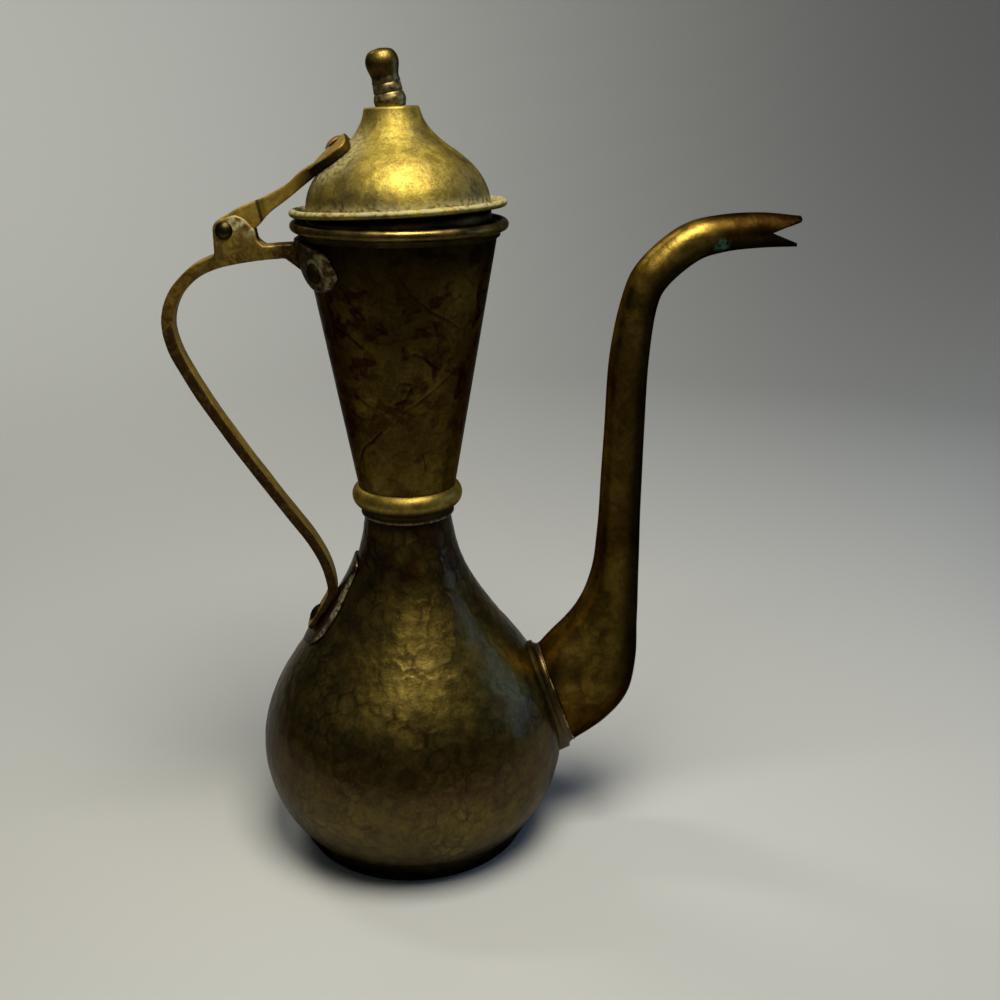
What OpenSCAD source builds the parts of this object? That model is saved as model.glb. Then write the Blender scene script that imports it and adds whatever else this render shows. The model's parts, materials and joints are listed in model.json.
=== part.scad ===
// Long-necked brass pouring ewer: beaten bulb, conical neck, hinged lid, riveted handle, tall spout.
// Millimetres, +Z up. The origin is the centre of the foot, on the vessel's axis.
// The spout points to +X and the handle to -X.

/* [Bulb] */
// Height of the base pan, from the table to its seam with the bulb
pan_h = 9.8; // [7:0.2:14]
// Outer radius of the pan where it stands
pan_foot_r = 44.8; // [38:0.2:47]
// Outer radius of the pan at its seam
pan_top_r = 49; // [46:0.2:53]
// Thickness of the pan's floor
pan_floor = 1.6; // [1:0.1:3]
// Height of the pan's lip inside the bulb
pan_lip = 4; // [2:0.5:7]
// Largest outer radius of the bulb
bulb_r = 59.8; // [56:0.2:66]
// Height of the bulb's widest ring above the seam
belly_h = 30.7; // [26:0.1:36]
// Height of the shoulder, where the outline turns hollow, above the widest ring
shoulder_h = 49.8; // [45:0.1:55]
// Outer radius of the shoulder
shoulder_r = 35.8; // [33:0.1:39]
// Drop of the throat's foot, where its sheet joins the bulb's, below the shoulder
throat_foot = 5; // [4:0.1:8]
// Height of the throat above the shoulder
throat_h = 45.3; // [40:0.1:52]
// Outer radius of the throat
throat_r = 16.3; // [14:0.1:18]
// Length of the throat's tube inside the collar
throat_tube = 6; // [4:0.1:7]
// Thickness of the beaten sheet
sheet = 1.2; // [0.8:0.1:1.6]
// Gap filled with solder between pieces that are fixed together
solder_gap = 0.1; // [0.06:0.01:0.2]

/* [Neck] */
// Radius of the collar's half-round bead
collar_bead = 4.4; // [3.6:0.1:5.4]
// Height of the collar's skirt under the bead
collar_skirt_h = 3; // [1:0.1:5]
// Thickness of the collar's skirt
collar_skirt_t = 1; // [0.6:0.1:2]
// Length of the neck, from its ledge in the collar to the mouth
neck_len = 102; // [90:0.5:115]
// Outer radius of the neck at its lower end
neck_low_r = 17.4; // [17.2:0.1:19]
// Outer radius of the neck at the mouth
neck_top_r = 35.3; // [32:0.1:38]
// Diameter of the rim's rolled bead
rim_bead = 3.8; // [3:0.1:5]
// How far the rim's bead stands out from the neck
rim_out = 3.2; // [2.6:0.1:4.4]
// Height of the rim's skirt, from under the bead
rim_skirt_h = 2.1; // [1:0.1:4]
// How far the rim's skirt stands out from the neck
rim_skirt_t = 1; // [0.6:0.1:1.6]

/* [Spout] */
// Height of the spout's root above the bulb's widest ring
root_up = 15; // [12:0.5:18]
// How far the middle of the root's face stands off the bulb's wall
root_stand = 0.9; // [0.5:0.1:2]
// Wall of the spout
spout_wall = 1.2; // [0.8:0.1:1.6]
// Width of the socket's flare where it meets the bulb
socket_flare = 3; // [1:0.1:4]
// Length of the notch between the jaws of the beak
beak_notch = 11.2; // [8:0.1:14]

/* [Handle] */
// Width of the handle's bar
bar_w = 9; // [7:0.1:11]
// Thickness of the bar along its top arm
bar_top_t = 5; // [4:0.1:6]
// Thickness of the bar down to the lower palm
bar_low_t = 3.7; // [3:0.1:4.6]
// How far the bar's long run bows outwards
bar_bow = 1.2; // [0:0.1:3]
// How far the handle's shoulder reaches out beyond the hinge pin
loop_out = 22.4; // [20:0.1:25]
// Height of the handle's lower bend above the lower palm's rivet
bend_up = 33.4; // [31:0.1:36]
// Width over the two hinge ears
clevis_w = 10; // [9:0.1:13]
// Thickness of the palms that lie on the neck
fork_t = 2.8; // [2:0.1:3.6]
// Angle from the handle to each rivet on the neck, in degrees
fork_angle = 34.5; // [30:0.5:40]
// Drop of those rivets below the hinge pin
fork_drop = 12.4; // [11.5:0.1:14]
// Height of the lower palm's rivet above the shoulder
palm_up = 2.1; // [0:0.1:5]
// Thickness of the lower palm
palm_t = 2.2; // [1.6:0.1:3]
// Thickness of the spade-shaped patch on the bulb
patch_t = 1; // [0.6:0.1:1.6]
// Half width of that patch
patch_half_w = 13.2; // [11:0.1:15]
// Radius of the rivets' shanks
rivet_r = 2; // [1.5:0.1:2.4]
// Radius of the rivets' heads
rivet_head_r = 3.6; // [3:0.1:4.4]
// Height of the heads on the neck
rivet_head_h = 2; // [1.4:0.1:2.6]
// Height of the flatter heads on the lower palm and on the lid's strap
low_head_h = 1.3; // [0.8:0.1:2]

/* [Lid hinge] */
// Distance of the hinge pin from the rim's edge
pin_out = 22.1; // [19:0.1:26]
// Drop of the hinge pin below the middle of the rim's bead
pin_drop = 1.1; // [0:0.1:2]
// Radius of the hinge pin
pin_r = 2; // [1.5:0.1:2.4]
// Radius of the pin's domed heads
pin_head_r = 3.05; // [2.6:0.05:4]
// Height of the pin's domed heads
pin_head_h = 1.6; // [1:0.1:2.4]
// Running clearance of the pin in the strap's knuckle
pin_play = 0.06; // [0.03:0.01:0.09]
// Width of the strap's knuckle between the ears
knuckle_w = 5; // [4:0.1:6]
// Clearance between the knuckle and each ear
knuckle_play = 0.15; // [0.1:0.01:0.3]
// Radius of the knuckle
knuckle_r = 3.9; // [3.5:0.1:4.3]
// How far the worn hinge keeps the lid open at rest, in degrees
lid_ajar = 2.5; // [1.5:0.1:4]
// How far the bent strap twists the lid's front up, in degrees
lid_twist = 1.6; // [0:0.1:1.6]

/* [Lid] */
// Height of the dome above its flange
dome_h = 33.6; // [29:0.1:38]
// How far the dome's foot lies inside the flange's edge
dome_in = 5.8; // [4.8:0.1:7.2]
// Outer radius of the dome's flat top
dome_top_r = 9.6; // [8:0.1:11.5]
// Thickness of the lid's sheet
lid_sheet = 1; // [0.8:0.1:1.4]
// How far the flange's edge lies inside the rim's edge
flange_in = 0.3; // [0:0.1:1.5]
// Thickness of the flange
flange_t = 1.2; // [0.8:0.1:1.8]
// Diameter of the flange's rolled edge
flange_bead = 2.6; // [2:0.1:3.2]
// Clearance of the sleeve inside the mouth
sleeve_play = 0.8; // [0.6:0.1:1.4]
// Depth of the sleeve
sleeve_h = 5.5; // [3:0.1:6.5]
// Width of the strap between knuckle and palm
strap_w = 8; // [6.5:0.1:9.5]
// Half width of the strap's palm on the dome
spade_half_w = 12.5; // [10:0.1:14]
// Thickness of that palm
spade_t = 3; // [2:0.1:3.6]

/* [Finial] */
// Height of the finial
finial_h = 19.2; // [16:0.1:23]
// Radius of its ball
finial_ball_r = 5.7; // [5:0.1:6.5]
// Radius of its stem
finial_stem_r = 4.9; // [4.2:0.1:5.4]
// Lean of the bent finial towards the handle, in degrees
finial_lean = 8.3; // [0:0.1:10]
// Radius of its tang
tang_r = 2.4; // [1.8:0.1:3]

/* [Hidden] */
$fn = 96;
dark_brass = [0.36, 0.27, 0.12];
warm_brass = [0.50, 0.37, 0.14];
gold_brass = [0.66, 0.52, 0.20];
far = 400;

// Points along a cubic curve from a to d with the handles b and c
function cubic(a, b, c, d, steps) =
    [for (i = [0:steps]) let (t = i / steps, s = 1 - t)
        s * s * s * a + 3 * s * s * t * b + 3 * s * t * t * c + t * t * t * d];

// One point of the smooth curve through four neighbours
function between(a, b, c, d, t) =
    b + t / 2 * (c - a + t * (2 * a - 5 * b + 4 * c - d + t * (3 * b - a - 3 * c + d)));

// Points along a smooth curve through all of p
function smooth(p, steps) =
    [for (i = [0:len(p) - 2])
        let (before = i == 0 ? 2 * p[0] - p[1] : p[i - 1],
             after = i == len(p) - 2 ? 2 * p[i + 1] - p[i] : p[i + 2])
        for (j = [0:steps - 1]) between(before, p[i], p[i + 1], after, j / steps),
     p[len(p) - 1]];

function reverse(p) = [for (i = [len(p) - 1:-1:0]) p[i]];

// Direction of the curve p at its point i, and the curve moved sideways to its right
function heading(p, i) =
    let (step = p[min(i + 1, len(p) - 1)] - p[max(i - 1, 0)]) step / norm(step);
function beside(p, t) = [for (i = [0:len(p) - 1]) let (h = heading(p, i)) p[i] + t * [h.y, -h.x]];

// Radius of an outline of [radius, height] points at a height, and its slope there
function radius_at(outline, z) = lookup(z, [for (p = outline) [p.y, p.x]]);
function slope_at(outline, z) = (radius_at(outline, z + 0.5) - radius_at(outline, z - 0.5));

// Heights of the vessel
seam_z = pan_h;
belly_z = seam_z + belly_h;
shoulder_z = belly_z + shoulder_h;
throat_foot_z = shoulder_z - throat_foot;
throat_z = shoulder_z + throat_h;
bead_z = throat_z + collar_skirt_h + collar_bead;
ledge_z = throat_z + throat_tube + solder_gap;
mouth_z = ledge_z + neck_len;
rim_z = mouth_z - rim_bead / 4;
rim_r = neck_top_r + rim_out;
rim_skirt_z = rim_z - rim_bead / 2 - rim_skirt_h;

// Outer outline of the bulb, from the seam up to the throat
shoulder_slope = -0.73;
throat_slope = -0.12;
belly_low_pull = 18.5;
belly_high_pull = 22.5;
shoulder_pull = 7.5;
throat_pull = throat_h * 0.4;
outline_steps = 10;
bulb_outline = concat(
    cubic([pan_top_r, seam_z], [pan_top_r, seam_z] + [0.8, 0.7],
          [bulb_r, belly_z - belly_low_pull], [bulb_r, belly_z], outline_steps),
    [for (i = [1:outline_steps])
        cubic([bulb_r, belly_z], [bulb_r, belly_z + belly_high_pull],
              [shoulder_r - shoulder_slope * shoulder_pull, shoulder_z - shoulder_pull],
              [shoulder_r, shoulder_z], outline_steps)[i]],
    [for (i = [1:outline_steps])
        cubic([shoulder_r, shoulder_z],
              [shoulder_r + shoulder_slope * throat_pull, shoulder_z + throat_pull],
              [throat_r - throat_slope * throat_pull, throat_z - throat_pull],
              [throat_r, throat_z], outline_steps)[i]]);

// Solid inside the bulb's outer face, grown by a distance
module bulb_core(grow) {
    outline = beside(bulb_outline, grow);
    rotate_extrude()
        polygon(concat([[0, seam_z]], outline, [[0, throat_z]]));
}

// Solid of the neck's outer face, grown by a distance
module neck_core(grow) {
    translate([0, 0, ledge_z])
        cylinder(h = neck_len, r1 = neck_low_r + grow, r2 = neck_top_r + grow);
}

function neck_r(z) = neck_low_r + (neck_top_r - neck_low_r) * (z - ledge_z) / neck_len;

module base_pan() {
    wall = pan_top_r - sheet - solder_gap;
    color(dark_brass) rotate_extrude()
        polygon([[0, 0], [pan_foot_r, 0], [pan_top_r, seam_z], [wall, seam_z], [wall, seam_z + pan_lip],
                 [wall - sheet, seam_z + pan_lip], [wall - sheet, seam_z],
                 [pan_foot_r - sheet, pan_floor], [0, pan_floor]]);
}

// Beaten sheet of the bulb and its throat, between two heights
module bulb_sheet(from_z, to_z) {
    inner = beside(bulb_outline, -sheet);
    tube = [[throat_r, throat_z + throat_tube], [throat_r - sheet, throat_z + throat_tube]];
    low_inner = [pan_top_r - sheet, seam_z];
    rotate_extrude() intersection() {
        polygon(concat(bulb_outline, tube, reverse([for (i = [1:len(inner) - 1]) inner[i]]), [low_inner]));
        translate([0, from_z]) square([far, to_z - from_z]);
    }
}

module body() {
    color(dark_brass) difference() {
        bulb_sheet(0, throat_foot_z);
        at_root() linear_extrude(4 * root_depth, center = true)
            ellipse(root_half_h - 2.5 * spout_wall, root_half_w - 2.5 * spout_wall);
    }
}

module throat() {
    color(dark_brass) difference() {
        bulb_sheet(throat_foot_z, far);
        along_lower_rivet() cylinder(h = far / 10, r = rivet_r + solder_gap / 2, center = true);
    }
}

module neck_collar() {
    color(gold_brass) difference() {
        union() {
            rotate_extrude() translate([throat_r + solder_gap, bead_z]) circle(collar_bead);
            translate([0, 0, throat_z])
                cylinder(h = collar_skirt_h + collar_bead, r = throat_r + solder_gap + collar_skirt_t);
        }
        cylinder(h = far, r = throat_r + solder_gap, center = true);
        neck_core(solder_gap);
    }
}

module neck_cone() {
    color(dark_brass) difference() {
        neck_core(0);
        translate([0, 0, ledge_z - 1])
            cylinder(h = neck_len + 2, r1 = neck_r(ledge_z - 1) - sheet, r2 = neck_r(mouth_z + 1) - sheet);
        for (side = [-1, 1])
            along_neck_rivet(side) cylinder(h = far / 10, r = rivet_r + solder_gap / 2, center = true);
    }
}

module rim_ring() {
    color(warm_brass) difference() {
        union() {
            rotate_extrude() translate([rim_r - rim_bead / 2, rim_z]) circle(rim_bead / 2);
            translate([0, 0, rim_skirt_z])
                cylinder(h = rim_skirt_h + rim_bead / 2, r = neck_r(rim_skirt_z) + rim_skirt_t);
        }
        neck_core(solder_gap);
        translate([0, 0, mouth_z - 1])
            cylinder(h = far, r = neck_top_r + solder_gap);
    }
}

// Sections of the spout from its root to the beak, from the middle of the root's face:
// [across, up, heading in degrees, half height, half width]
root_half_h = 21.8;
root_half_w = 16;
root_depth = 8;
root_z = belly_z + root_up;
root_x = radius_at(bulb_outline, root_z) + root_stand;
root_tilt = atan(-slope_at(bulb_outline, root_z));
spout_sections = [
    [0, 0, root_tilt, root_half_h, root_half_w],
    [9, 7.6, 31, root_half_h + 0.1, root_half_w + 0.5],
    [15.8, 15.8, 40, root_half_h - 1.3, root_half_w - 0.5],
    [19.9, 27, 46, 16.7, 13.2],
    [21.8, 39.4, 52, 12.8, 11.4],
    [22.9, 53.2, 68, 9.6, 9.8],
    [23.5, 72, 87, 8.2, 8.5],
    [23.9, 91, 88, 7.9, 8.1],
    [24.4, 110, 89, 7.6, 7.7],
    [25.3, 137, 87, 7.4, 7.4],
    [28.5, 158.2, 70, 6.8, 7.2],
    [33.6, 168.9, 50, 7, 7.2],
    [46, 179.2, 28, 7.1, 7.1],
    [58, 182.6, 6, 6.7, 6.8],
    [72, 183.6, 0, 6.3, 6.3],
    [86, 183.1, -2, 5.5, 5.5]];
section_sides = 28;
section_steps = 3;
jaw_slopes = [-0.5, 0.385];

module at_root() {
    translate([root_x, 0, root_z]) rotate([0, 90 - root_tilt, 0]) children();
}

// Ellipse with its long axis up the root's face
module ellipse(half_h, half_w) {
    polygon([for (i = [0:section_sides * 2 - 1]) let (a = 180 * i / section_sides)
        [half_h * cos(a), half_w * sin(a)]]);
}

// Ring of points round one section, drawn in by a distance
function section_ring(s, in) =
    [for (i = [0:section_sides - 1])
        let (a = 360 * i / section_sides, up = (s[3] - in) * cos(a))
        [root_x + s[0] - up * sin(s[2]), (s[4] - in) * sin(a), root_z + s[1] + up * cos(s[2])]];

// Socket that flares towards the bulb at its top and sides, with a straight lower edge
module spout_socket() {
    flare = [1 + socket_flare / (2 * root_half_h), 1 + socket_flare / root_half_w];
    color(dark_brass) difference() {
        at_root() mirror([0, 0, 1]) translate([root_half_h, 0, 0])
            linear_extrude(root_depth, scale = flare, slices = 1) translate([-root_half_h, 0])
            ellipse(root_half_h, root_half_w);
        at_root() linear_extrude(4 * root_depth, center = true)
            ellipse(root_half_h - spout_wall, root_half_w - spout_wall);
        bulb_core(solder_gap);
    }
}

module spout() {
    sections = smooth(spout_sections, section_steps);
    rings = concat([for (s = sections) section_ring(s, 0)],
                   [for (i = [len(sections) - 1:-1:0]) section_ring(sections[i], spout_wall)]);
    count = len(rings);
    tip = spout_sections[len(spout_sections) - 1];
    notch_x = root_x + tip[0] - beak_notch;
    color(warm_brass) difference() {
        polyhedron([for (ring = rings, p = ring) p],
                   [for (i = [0:count - 1], j = [0:section_sides - 1], half = [0, 1])
                       let (k = (j + 1) % section_sides, low = i * section_sides,
                            high = (i + 1) % count * section_sides)
                       half == 0 ? [low + j, low + k, high + j] : [low + k, high + k, high + j]]);
        translate([notch_x, 0, root_z + tip[1]]) rotate([90, 0, 0])
            linear_extrude(far / 10, center = true)
            polygon(concat([[0, 0]], [for (slope = jaw_slopes) 2 * beak_notch * [1, slope]]));
    }
}

// Hinge pin, and the middle lines of the handle in the upright plane of the axis
pin = [-rim_r - pin_out, rim_z - pin_drop];
palm_z = shoulder_z + palm_up;
palm = [-radius_at(bulb_outline, palm_z), palm_z];
palm_angle = atan(-slope_at(bulb_outline, palm_z));
palm_out = [-cos(palm_angle), sin(palm_angle)];
palm_down = [-sin(palm_angle), -cos(palm_angle)];
palm_seat = patch_t + 2 * solder_gap;
fork_z = pin.y - fork_drop;
arm_drop = 7.2;
gusset_run = 9;
gusset_h = 4;
arm_z = pin.y - arm_drop;
bar_top = [for (p = [[0.69, -0.348], [0.2, -0.41], [-0.245, -0.513], [-0.58, -0.696], [-0.866, -1.01],
                     [-1, -1.43], [-0.933, -1.857], [-0.75, -2.272]]) pin + loop_out * p];
bar_low = concat([for (p = [[-0.075, 1], [0.066, 0.704], [0.132, 0.407], [0.102, 0.257]]) palm + bend_up * p],
                 [for (down = [-0.105, 0.015, 0.165])
                     palm + (palm_seat + palm_t / 2) * palm_out + bend_up * down * palm_down]);
run_points = 6;
bow_lead = 0.7;
run_from = bar_top[len(bar_top) - 1];
run = bar_low[0] - run_from;
run_side = [run.y, -run.x] / norm(run);
bar_run = [for (i = [1:run_points]) let (t = i / (run_points + 1))
    run_from + t * run + bar_bow * sin(180 * pow(t, bow_lead)) * run_side];
bar_line = smooth(concat([[-neck_r(arm_z), arm_z]], bar_top, bar_run, bar_low), 4);
slot_w = knuckle_w + 2 * knuckle_play;
slot_room = 0.6;
ear_lip = 0.1;
ear_r = knuckle_r + ear_lip;
seat_lift = 0.3;

// Draws a flat outline of the upright plane as a plate across the handle
module plate(width) {
    rotate([90, 0, 0]) linear_extrude(width, center = true) children();
}

module along_neck_rivet(side) {
    lean = atan((neck_top_r - neck_low_r) / neck_len);
    rotate([0, 0, 180 + side * fork_angle]) translate([neck_r(fork_z), 0, fork_z])
        rotate([0, 90 + lean, 0]) children();
}

module along_lower_rivet() {
    translate([palm.x, 0, palm.y]) rotate([0, -90 + palm_angle, 0]) children();
}

// Bar of the handle, thinner towards the lower palm and thinnest on it
module handle_bar() {
    last = len(bar_line) - 1;
    stations = [[0, bar_top_t], [0.5, bar_low_t], [0.86, bar_low_t], [0.92, palm_t], [1, palm_t]];
    thick = [for (i = [0:last]) lookup(i / last, stations)];
    edge = function(side) [for (i = [0:last]) let (h = heading(bar_line, i))
        bar_line[i] + side * thick[i] / 2 * [h.y, -h.x]];
    plate(bar_w) polygon(concat(edge(1), reverse(edge(-1))));
}

// Gusset that carries the underside of the top arm down into the fork
module fork_gusset() {
    foot_z = fork_z - gusset_h;
    plate(bar_w) polygon([[-neck_r(arm_z), arm_z], [-neck_r(arm_z) - gusset_run, arm_z - 1],
                          [-neck_r(foot_z), foot_z]]);
}

// Ears of the hinge: a lobe that rises from the top arm, round the pin
module hinge_ears() {
    lobe = concat([[-1, -2.5]],
                  [for (a = [180:-15:105]) [cos(a), sin(a)]],
                  [[1.05, 1.3], [1.75, 1.02], [2.58, 0.05], [2.7, -0.88], [3.35, -1.4], [3.35, -2.12]]);
    plate(clevis_w) translate(pin) polygon(ear_r * lobe);
}

// Outline of the fork's two palms, seen along the handle
module fork_outline() {
    out = neck_r(fork_z) * sin(fork_angle);
    top = rim_skirt_z - seat_lift;
    r = rivet_head_r;
    half = [[0, top], [out * 0.7, top], [out + 0.94 * r, top - 0.61 * r], [out + 1.67 * r, fork_z + 0.67 * r],
            [out + 1.67 * r, fork_z - 0.83 * r], [out + 0.44 * r, fork_z - 1.86 * r],
            [out - 1.11 * r, fork_z - 1.83 * r], [0, fork_z + 0.22 * r]];
    mirrored = [for (i = [len(half) - 2:-1:1]) [-half[i].x, half[i].y]];
    polygon(concat(smooth(half, 4), smooth(concat([half[len(half) - 1]], mirrored, [half[0]]), 4)));
}

module fork_palms() {
    intersection() {
        difference() {
            neck_core(solder_gap + fork_t);
            neck_core(solder_gap);
        }
        translate([-far, 0, 0]) rotate([90, 0, 90]) linear_extrude(far) fork_outline();
    }
}

module handle() {
    color(warm_brass) difference() {
        union() {
            handle_bar();
            hinge_ears();
            fork_gusset();
            fork_palms();
        }
        neck_core(solder_gap);
        bulb_core(palm_seat);
        translate([pin.x - 2 * ear_r, -slot_w / 2, pin.y - knuckle_r - slot_room])
            cube([5.5 * ear_r, slot_w, 5 * ear_r]);
        translate([pin.x, 0, pin.y]) rotate([90, 0, 0]) cylinder(h = far, r = pin_r, center = true);
        for (side = [-1, 1])
            along_neck_rivet(side) cylinder(h = far / 10, r = rivet_r + solder_gap / 2, center = true);
        along_lower_rivet() cylinder(h = far / 10, r = rivet_r + solder_gap / 2, center = true);
    }
}

module handle_patch() {
    leaf = patch_half_w * [[0, 1.98], [0.36, 1.93], [0.6, 1.72], [0.62, 1.38], [0.73, 0.95],
                           [0.93, 0.34], [1, -0.11], [0.8, -0.49], [0, -0.72]];
    mirrored = [for (i = [len(leaf) - 2:-1:1]) [-leaf[i].x, leaf[i].y]];
    color(warm_brass) intersection() {
        difference() {
            bulb_core(solder_gap + patch_t);
            bulb_core(solder_gap);
            along_lower_rivet() cylinder(h = far / 10, r = rivet_r + solder_gap / 2, center = true);
        }
        translate([-far, 0, palm_z]) rotate([90, 0, 90]) linear_extrude(far)
            polygon(concat(smooth(leaf, 4), smooth(concat([leaf[len(leaf) - 1]], mirrored, [leaf[0]]), 4)));
    }
}

// Rivet along +Z from a shank's inner end to the top of its head, seated at a height
module rivet(inner_end, seat, head_h) {
    translate([0, 0, inner_end]) cylinder(h = seat - inner_end, r = rivet_r);
    translate([0, 0, seat]) dome_head(rivet_head_r, head_h);
    translate([0, 0, inner_end]) mirror([0, 0, 1]) dome_head(rivet_r * 1.4, rivet_head_h / 2);
}

// Domed head with a flat seat
module dome_head(r, h) {
    sphere_r = (r * r + h * h) / (2 * h);
    reach = asin(r / sphere_r);
    rotate_extrude()
        polygon(concat([[0, 0]],
                       [for (i = [0:8]) let (a = reach * (1 - i / 8))
                           [sphere_r * sin(a), sphere_r * cos(a) - sphere_r + h]]));
}

module neck_rivets() {
    color(dark_brass) for (side = [-1, 1])
        along_neck_rivet(side) rivet(-sheet - seat_lift, fork_t + solder_gap + seat_lift, rivet_head_h);
}

module lower_rivet() {
    seat = palm_seat + palm_t + seat_lift;
    color(dark_brass) along_lower_rivet() rivet(-sheet - seat_lift, seat, low_head_h);
}

module hinge_pin() {
    color(dark_brass) translate([pin.x, 0, pin.y]) rotate([90, 0, 0]) {
        cylinder(h = clevis_w, r = pin_r, center = true);
        for (turn = [0, 180])
            rotate([turn, 0, 0]) translate([0, 0, clevis_w / 2]) dome_head(pin_head_r, pin_head_h);
    }
}

// The lid, drawn shut on the rim and then turned to its place
lid_z = rim_z + rim_bead / 2;
flange_r = rim_r - flange_in;
dome_r = flange_r - dome_in;
dome_z = lid_z + flange_t;
dome_top_z = dome_z + dome_h;
sleeve_r = neck_r(lid_z - sleeve_h) - sheet - sleeve_play;
turn_r = dome_r * 0.63;
turn_z = dome_z + dome_h * 0.565;
turn_slope = -1.36;
dome_outline = concat(
    cubic([dome_r, dome_z], [dome_r, dome_z + 8], [turn_r - 5 * turn_slope, turn_z - 5],
          [turn_r, turn_z], outline_steps),
    [for (i = [1:outline_steps])
        cubic([turn_r, turn_z], [turn_r + 4 * turn_slope, turn_z + 4],
              [dome_top_r + 1.2, dome_top_z - 6.6], [dome_top_r, dome_top_z - 0.6], outline_steps)[i]],
    [[dome_top_r - 0.5, dome_top_z]]);

// Turns the lid from shut to its place at rest about the hinge pin
module ajar() {
    translate([pin.x, 0, pin.y]) rotate([0, -lid_ajar, 0]) translate([-pin.x, 0, -pin.y]) children();
}

// Twists the lid about the line from the hinge to its strap's palm
module twisted() {
    translate([0, 0, turn_z]) rotate([-lid_twist, 0, 0]) translate([0, 0, -turn_z]) children();
}

module dome_core(grow) {
    outline = beside(dome_outline, grow);
    rotate_extrude()
        polygon(concat([[0, dome_z]], outline, [[0, outline[len(outline) - 1].y]]));
}

module lid_dome() {
    inner = beside(dome_outline, -lid_sheet);
    inner_top = dome_top_z - lid_sheet;
    color(gold_brass) ajar() twisted() difference() {
        rotate_extrude()
            polygon(concat(dome_outline, [[0, dome_top_z], [0, inner_top]],
                           [[dome_top_r - lid_sheet, inner_top]],
                           reverse([for (p = inner) if (p.y < inner_top) p]),
                           [[dome_r - lid_sheet, dome_z]]));
        cylinder(h = far, r = tang_r);
        along_strap_rivet() cylinder(h = far / 20, r = rivet_r + solder_gap / 2, center = true);
    }
}

module lid_flange() {
    color(gold_brass) ajar() twisted() difference() {
        union() {
            translate([0, 0, lid_z]) cylinder(h = flange_t, r = flange_r - flange_bead / 2);
            rotate_extrude() translate([flange_r - flange_bead / 2, lid_z + flange_bead / 2])
                circle(flange_bead / 2);
        }
        cylinder(h = far, r = sleeve_r - lid_sheet);
    }
}

module lid_sleeve() {
    color(dark_brass) ajar() twisted() translate([0, 0, lid_z - sleeve_h]) difference() {
        cylinder(h = sleeve_h, r = sleeve_r);
        translate([0, 0, -1]) cylinder(h = sleeve_h + 2, r = sleeve_r - lid_sheet);
    }
}

// Places on the dome that the strap follows, on the side of the handle
function on_dome(up) = [-radius_at(dome_outline, dome_z + up), dome_z + up];
strap_land_up = 12;
strap_rivet_up = 20.2;
strap_land = on_dome(strap_land_up);
spade_mid = on_dome(strap_rivet_up);
strap_top = smooth(concat([for (p = [[-1.6, 3.5], [5, 7], [13.4, 9.9]]) pin + p],
                          [for (p = [[-10.8, -2.5], [-5.1, 1.8], [1.4, 5.2]]) strap_land + p],
                          [spade_mid]), 5);
strap_low = smooth([pin + [2, -3.3], pin + [10.4, -0.2], pin + [15.7, 4.6], strap_land + [-8.9, -6.2],
                    strap_land], 4);

module along_strap_rivet() {
    slope = slope_at(dome_outline, spade_mid.y);
    translate([spade_mid.x, 0, spade_mid.y]) rotate([0, -90 + atan(-slope), 0]) children();
}

// Bar of the strap in plan: its knuckle between the ears, then its full width
module bar_plan() {
    shoulder_x = pin.x + 12.4;
    edge = [[pin.x - 2 * knuckle_r, knuckle_w / 2], [shoulder_x, knuckle_w / 2],
            [shoulder_x + 2.5, strap_w / 2], [spade_mid.x, strap_w / 2]];
    polygon(concat(edge, reverse([for (p = edge) [p.x, -p.y]])));
}

// Blunt palm of the strap, laid flat: along the dome's slope from the rivet, and across
module spade_plan() {
    half = [[-norm(spade_mid - strap_land), strap_w / 2], [-7.5, spade_half_w * 0.78],
            [-4, spade_half_w * 0.97], [1.2, spade_half_w], [3.8, spade_half_w * 0.88],
            [4.8, spade_half_w * 0.6], [5, 0]];
    edge = smooth(half, 4);
    polygon(concat(edge, reverse([for (p = edge) if (p.y > 0) [p.x, -p.y]])));
}

module lid_strap() {
    color(warm_brass) ajar() difference() {
        union() {
            intersection() {
                union() {
                    plate(strap_w) polygon(concat(strap_top, reverse(strap_low)));
                    translate([pin.x, 0, pin.y]) rotate([90, 0, 0])
                        cylinder(h = knuckle_w, r = knuckle_r, center = true);
                }
                linear_extrude(far) bar_plan();
            }
            intersection() {
                twisted() dome_core(solder_gap + spade_t);
                along_strap_rivet() linear_extrude(2 * spade_half_w, center = true) spade_plan();
            }
        }
        twisted() dome_core(solder_gap);
        translate([pin.x, 0, pin.y]) rotate([90, 0, 0])
            cylinder(h = far, r = pin_r + pin_play, center = true);
        twisted() along_strap_rivet() cylinder(h = far / 20, r = rivet_r + solder_gap / 2, center = true);
    }
}

module strap_rivet() {
    seat = spade_t + solder_gap + seat_lift;
    color(dark_brass) ajar() twisted() along_strap_rivet() rivet(-lid_sheet - seat_lift, seat, low_head_h);
}

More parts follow.
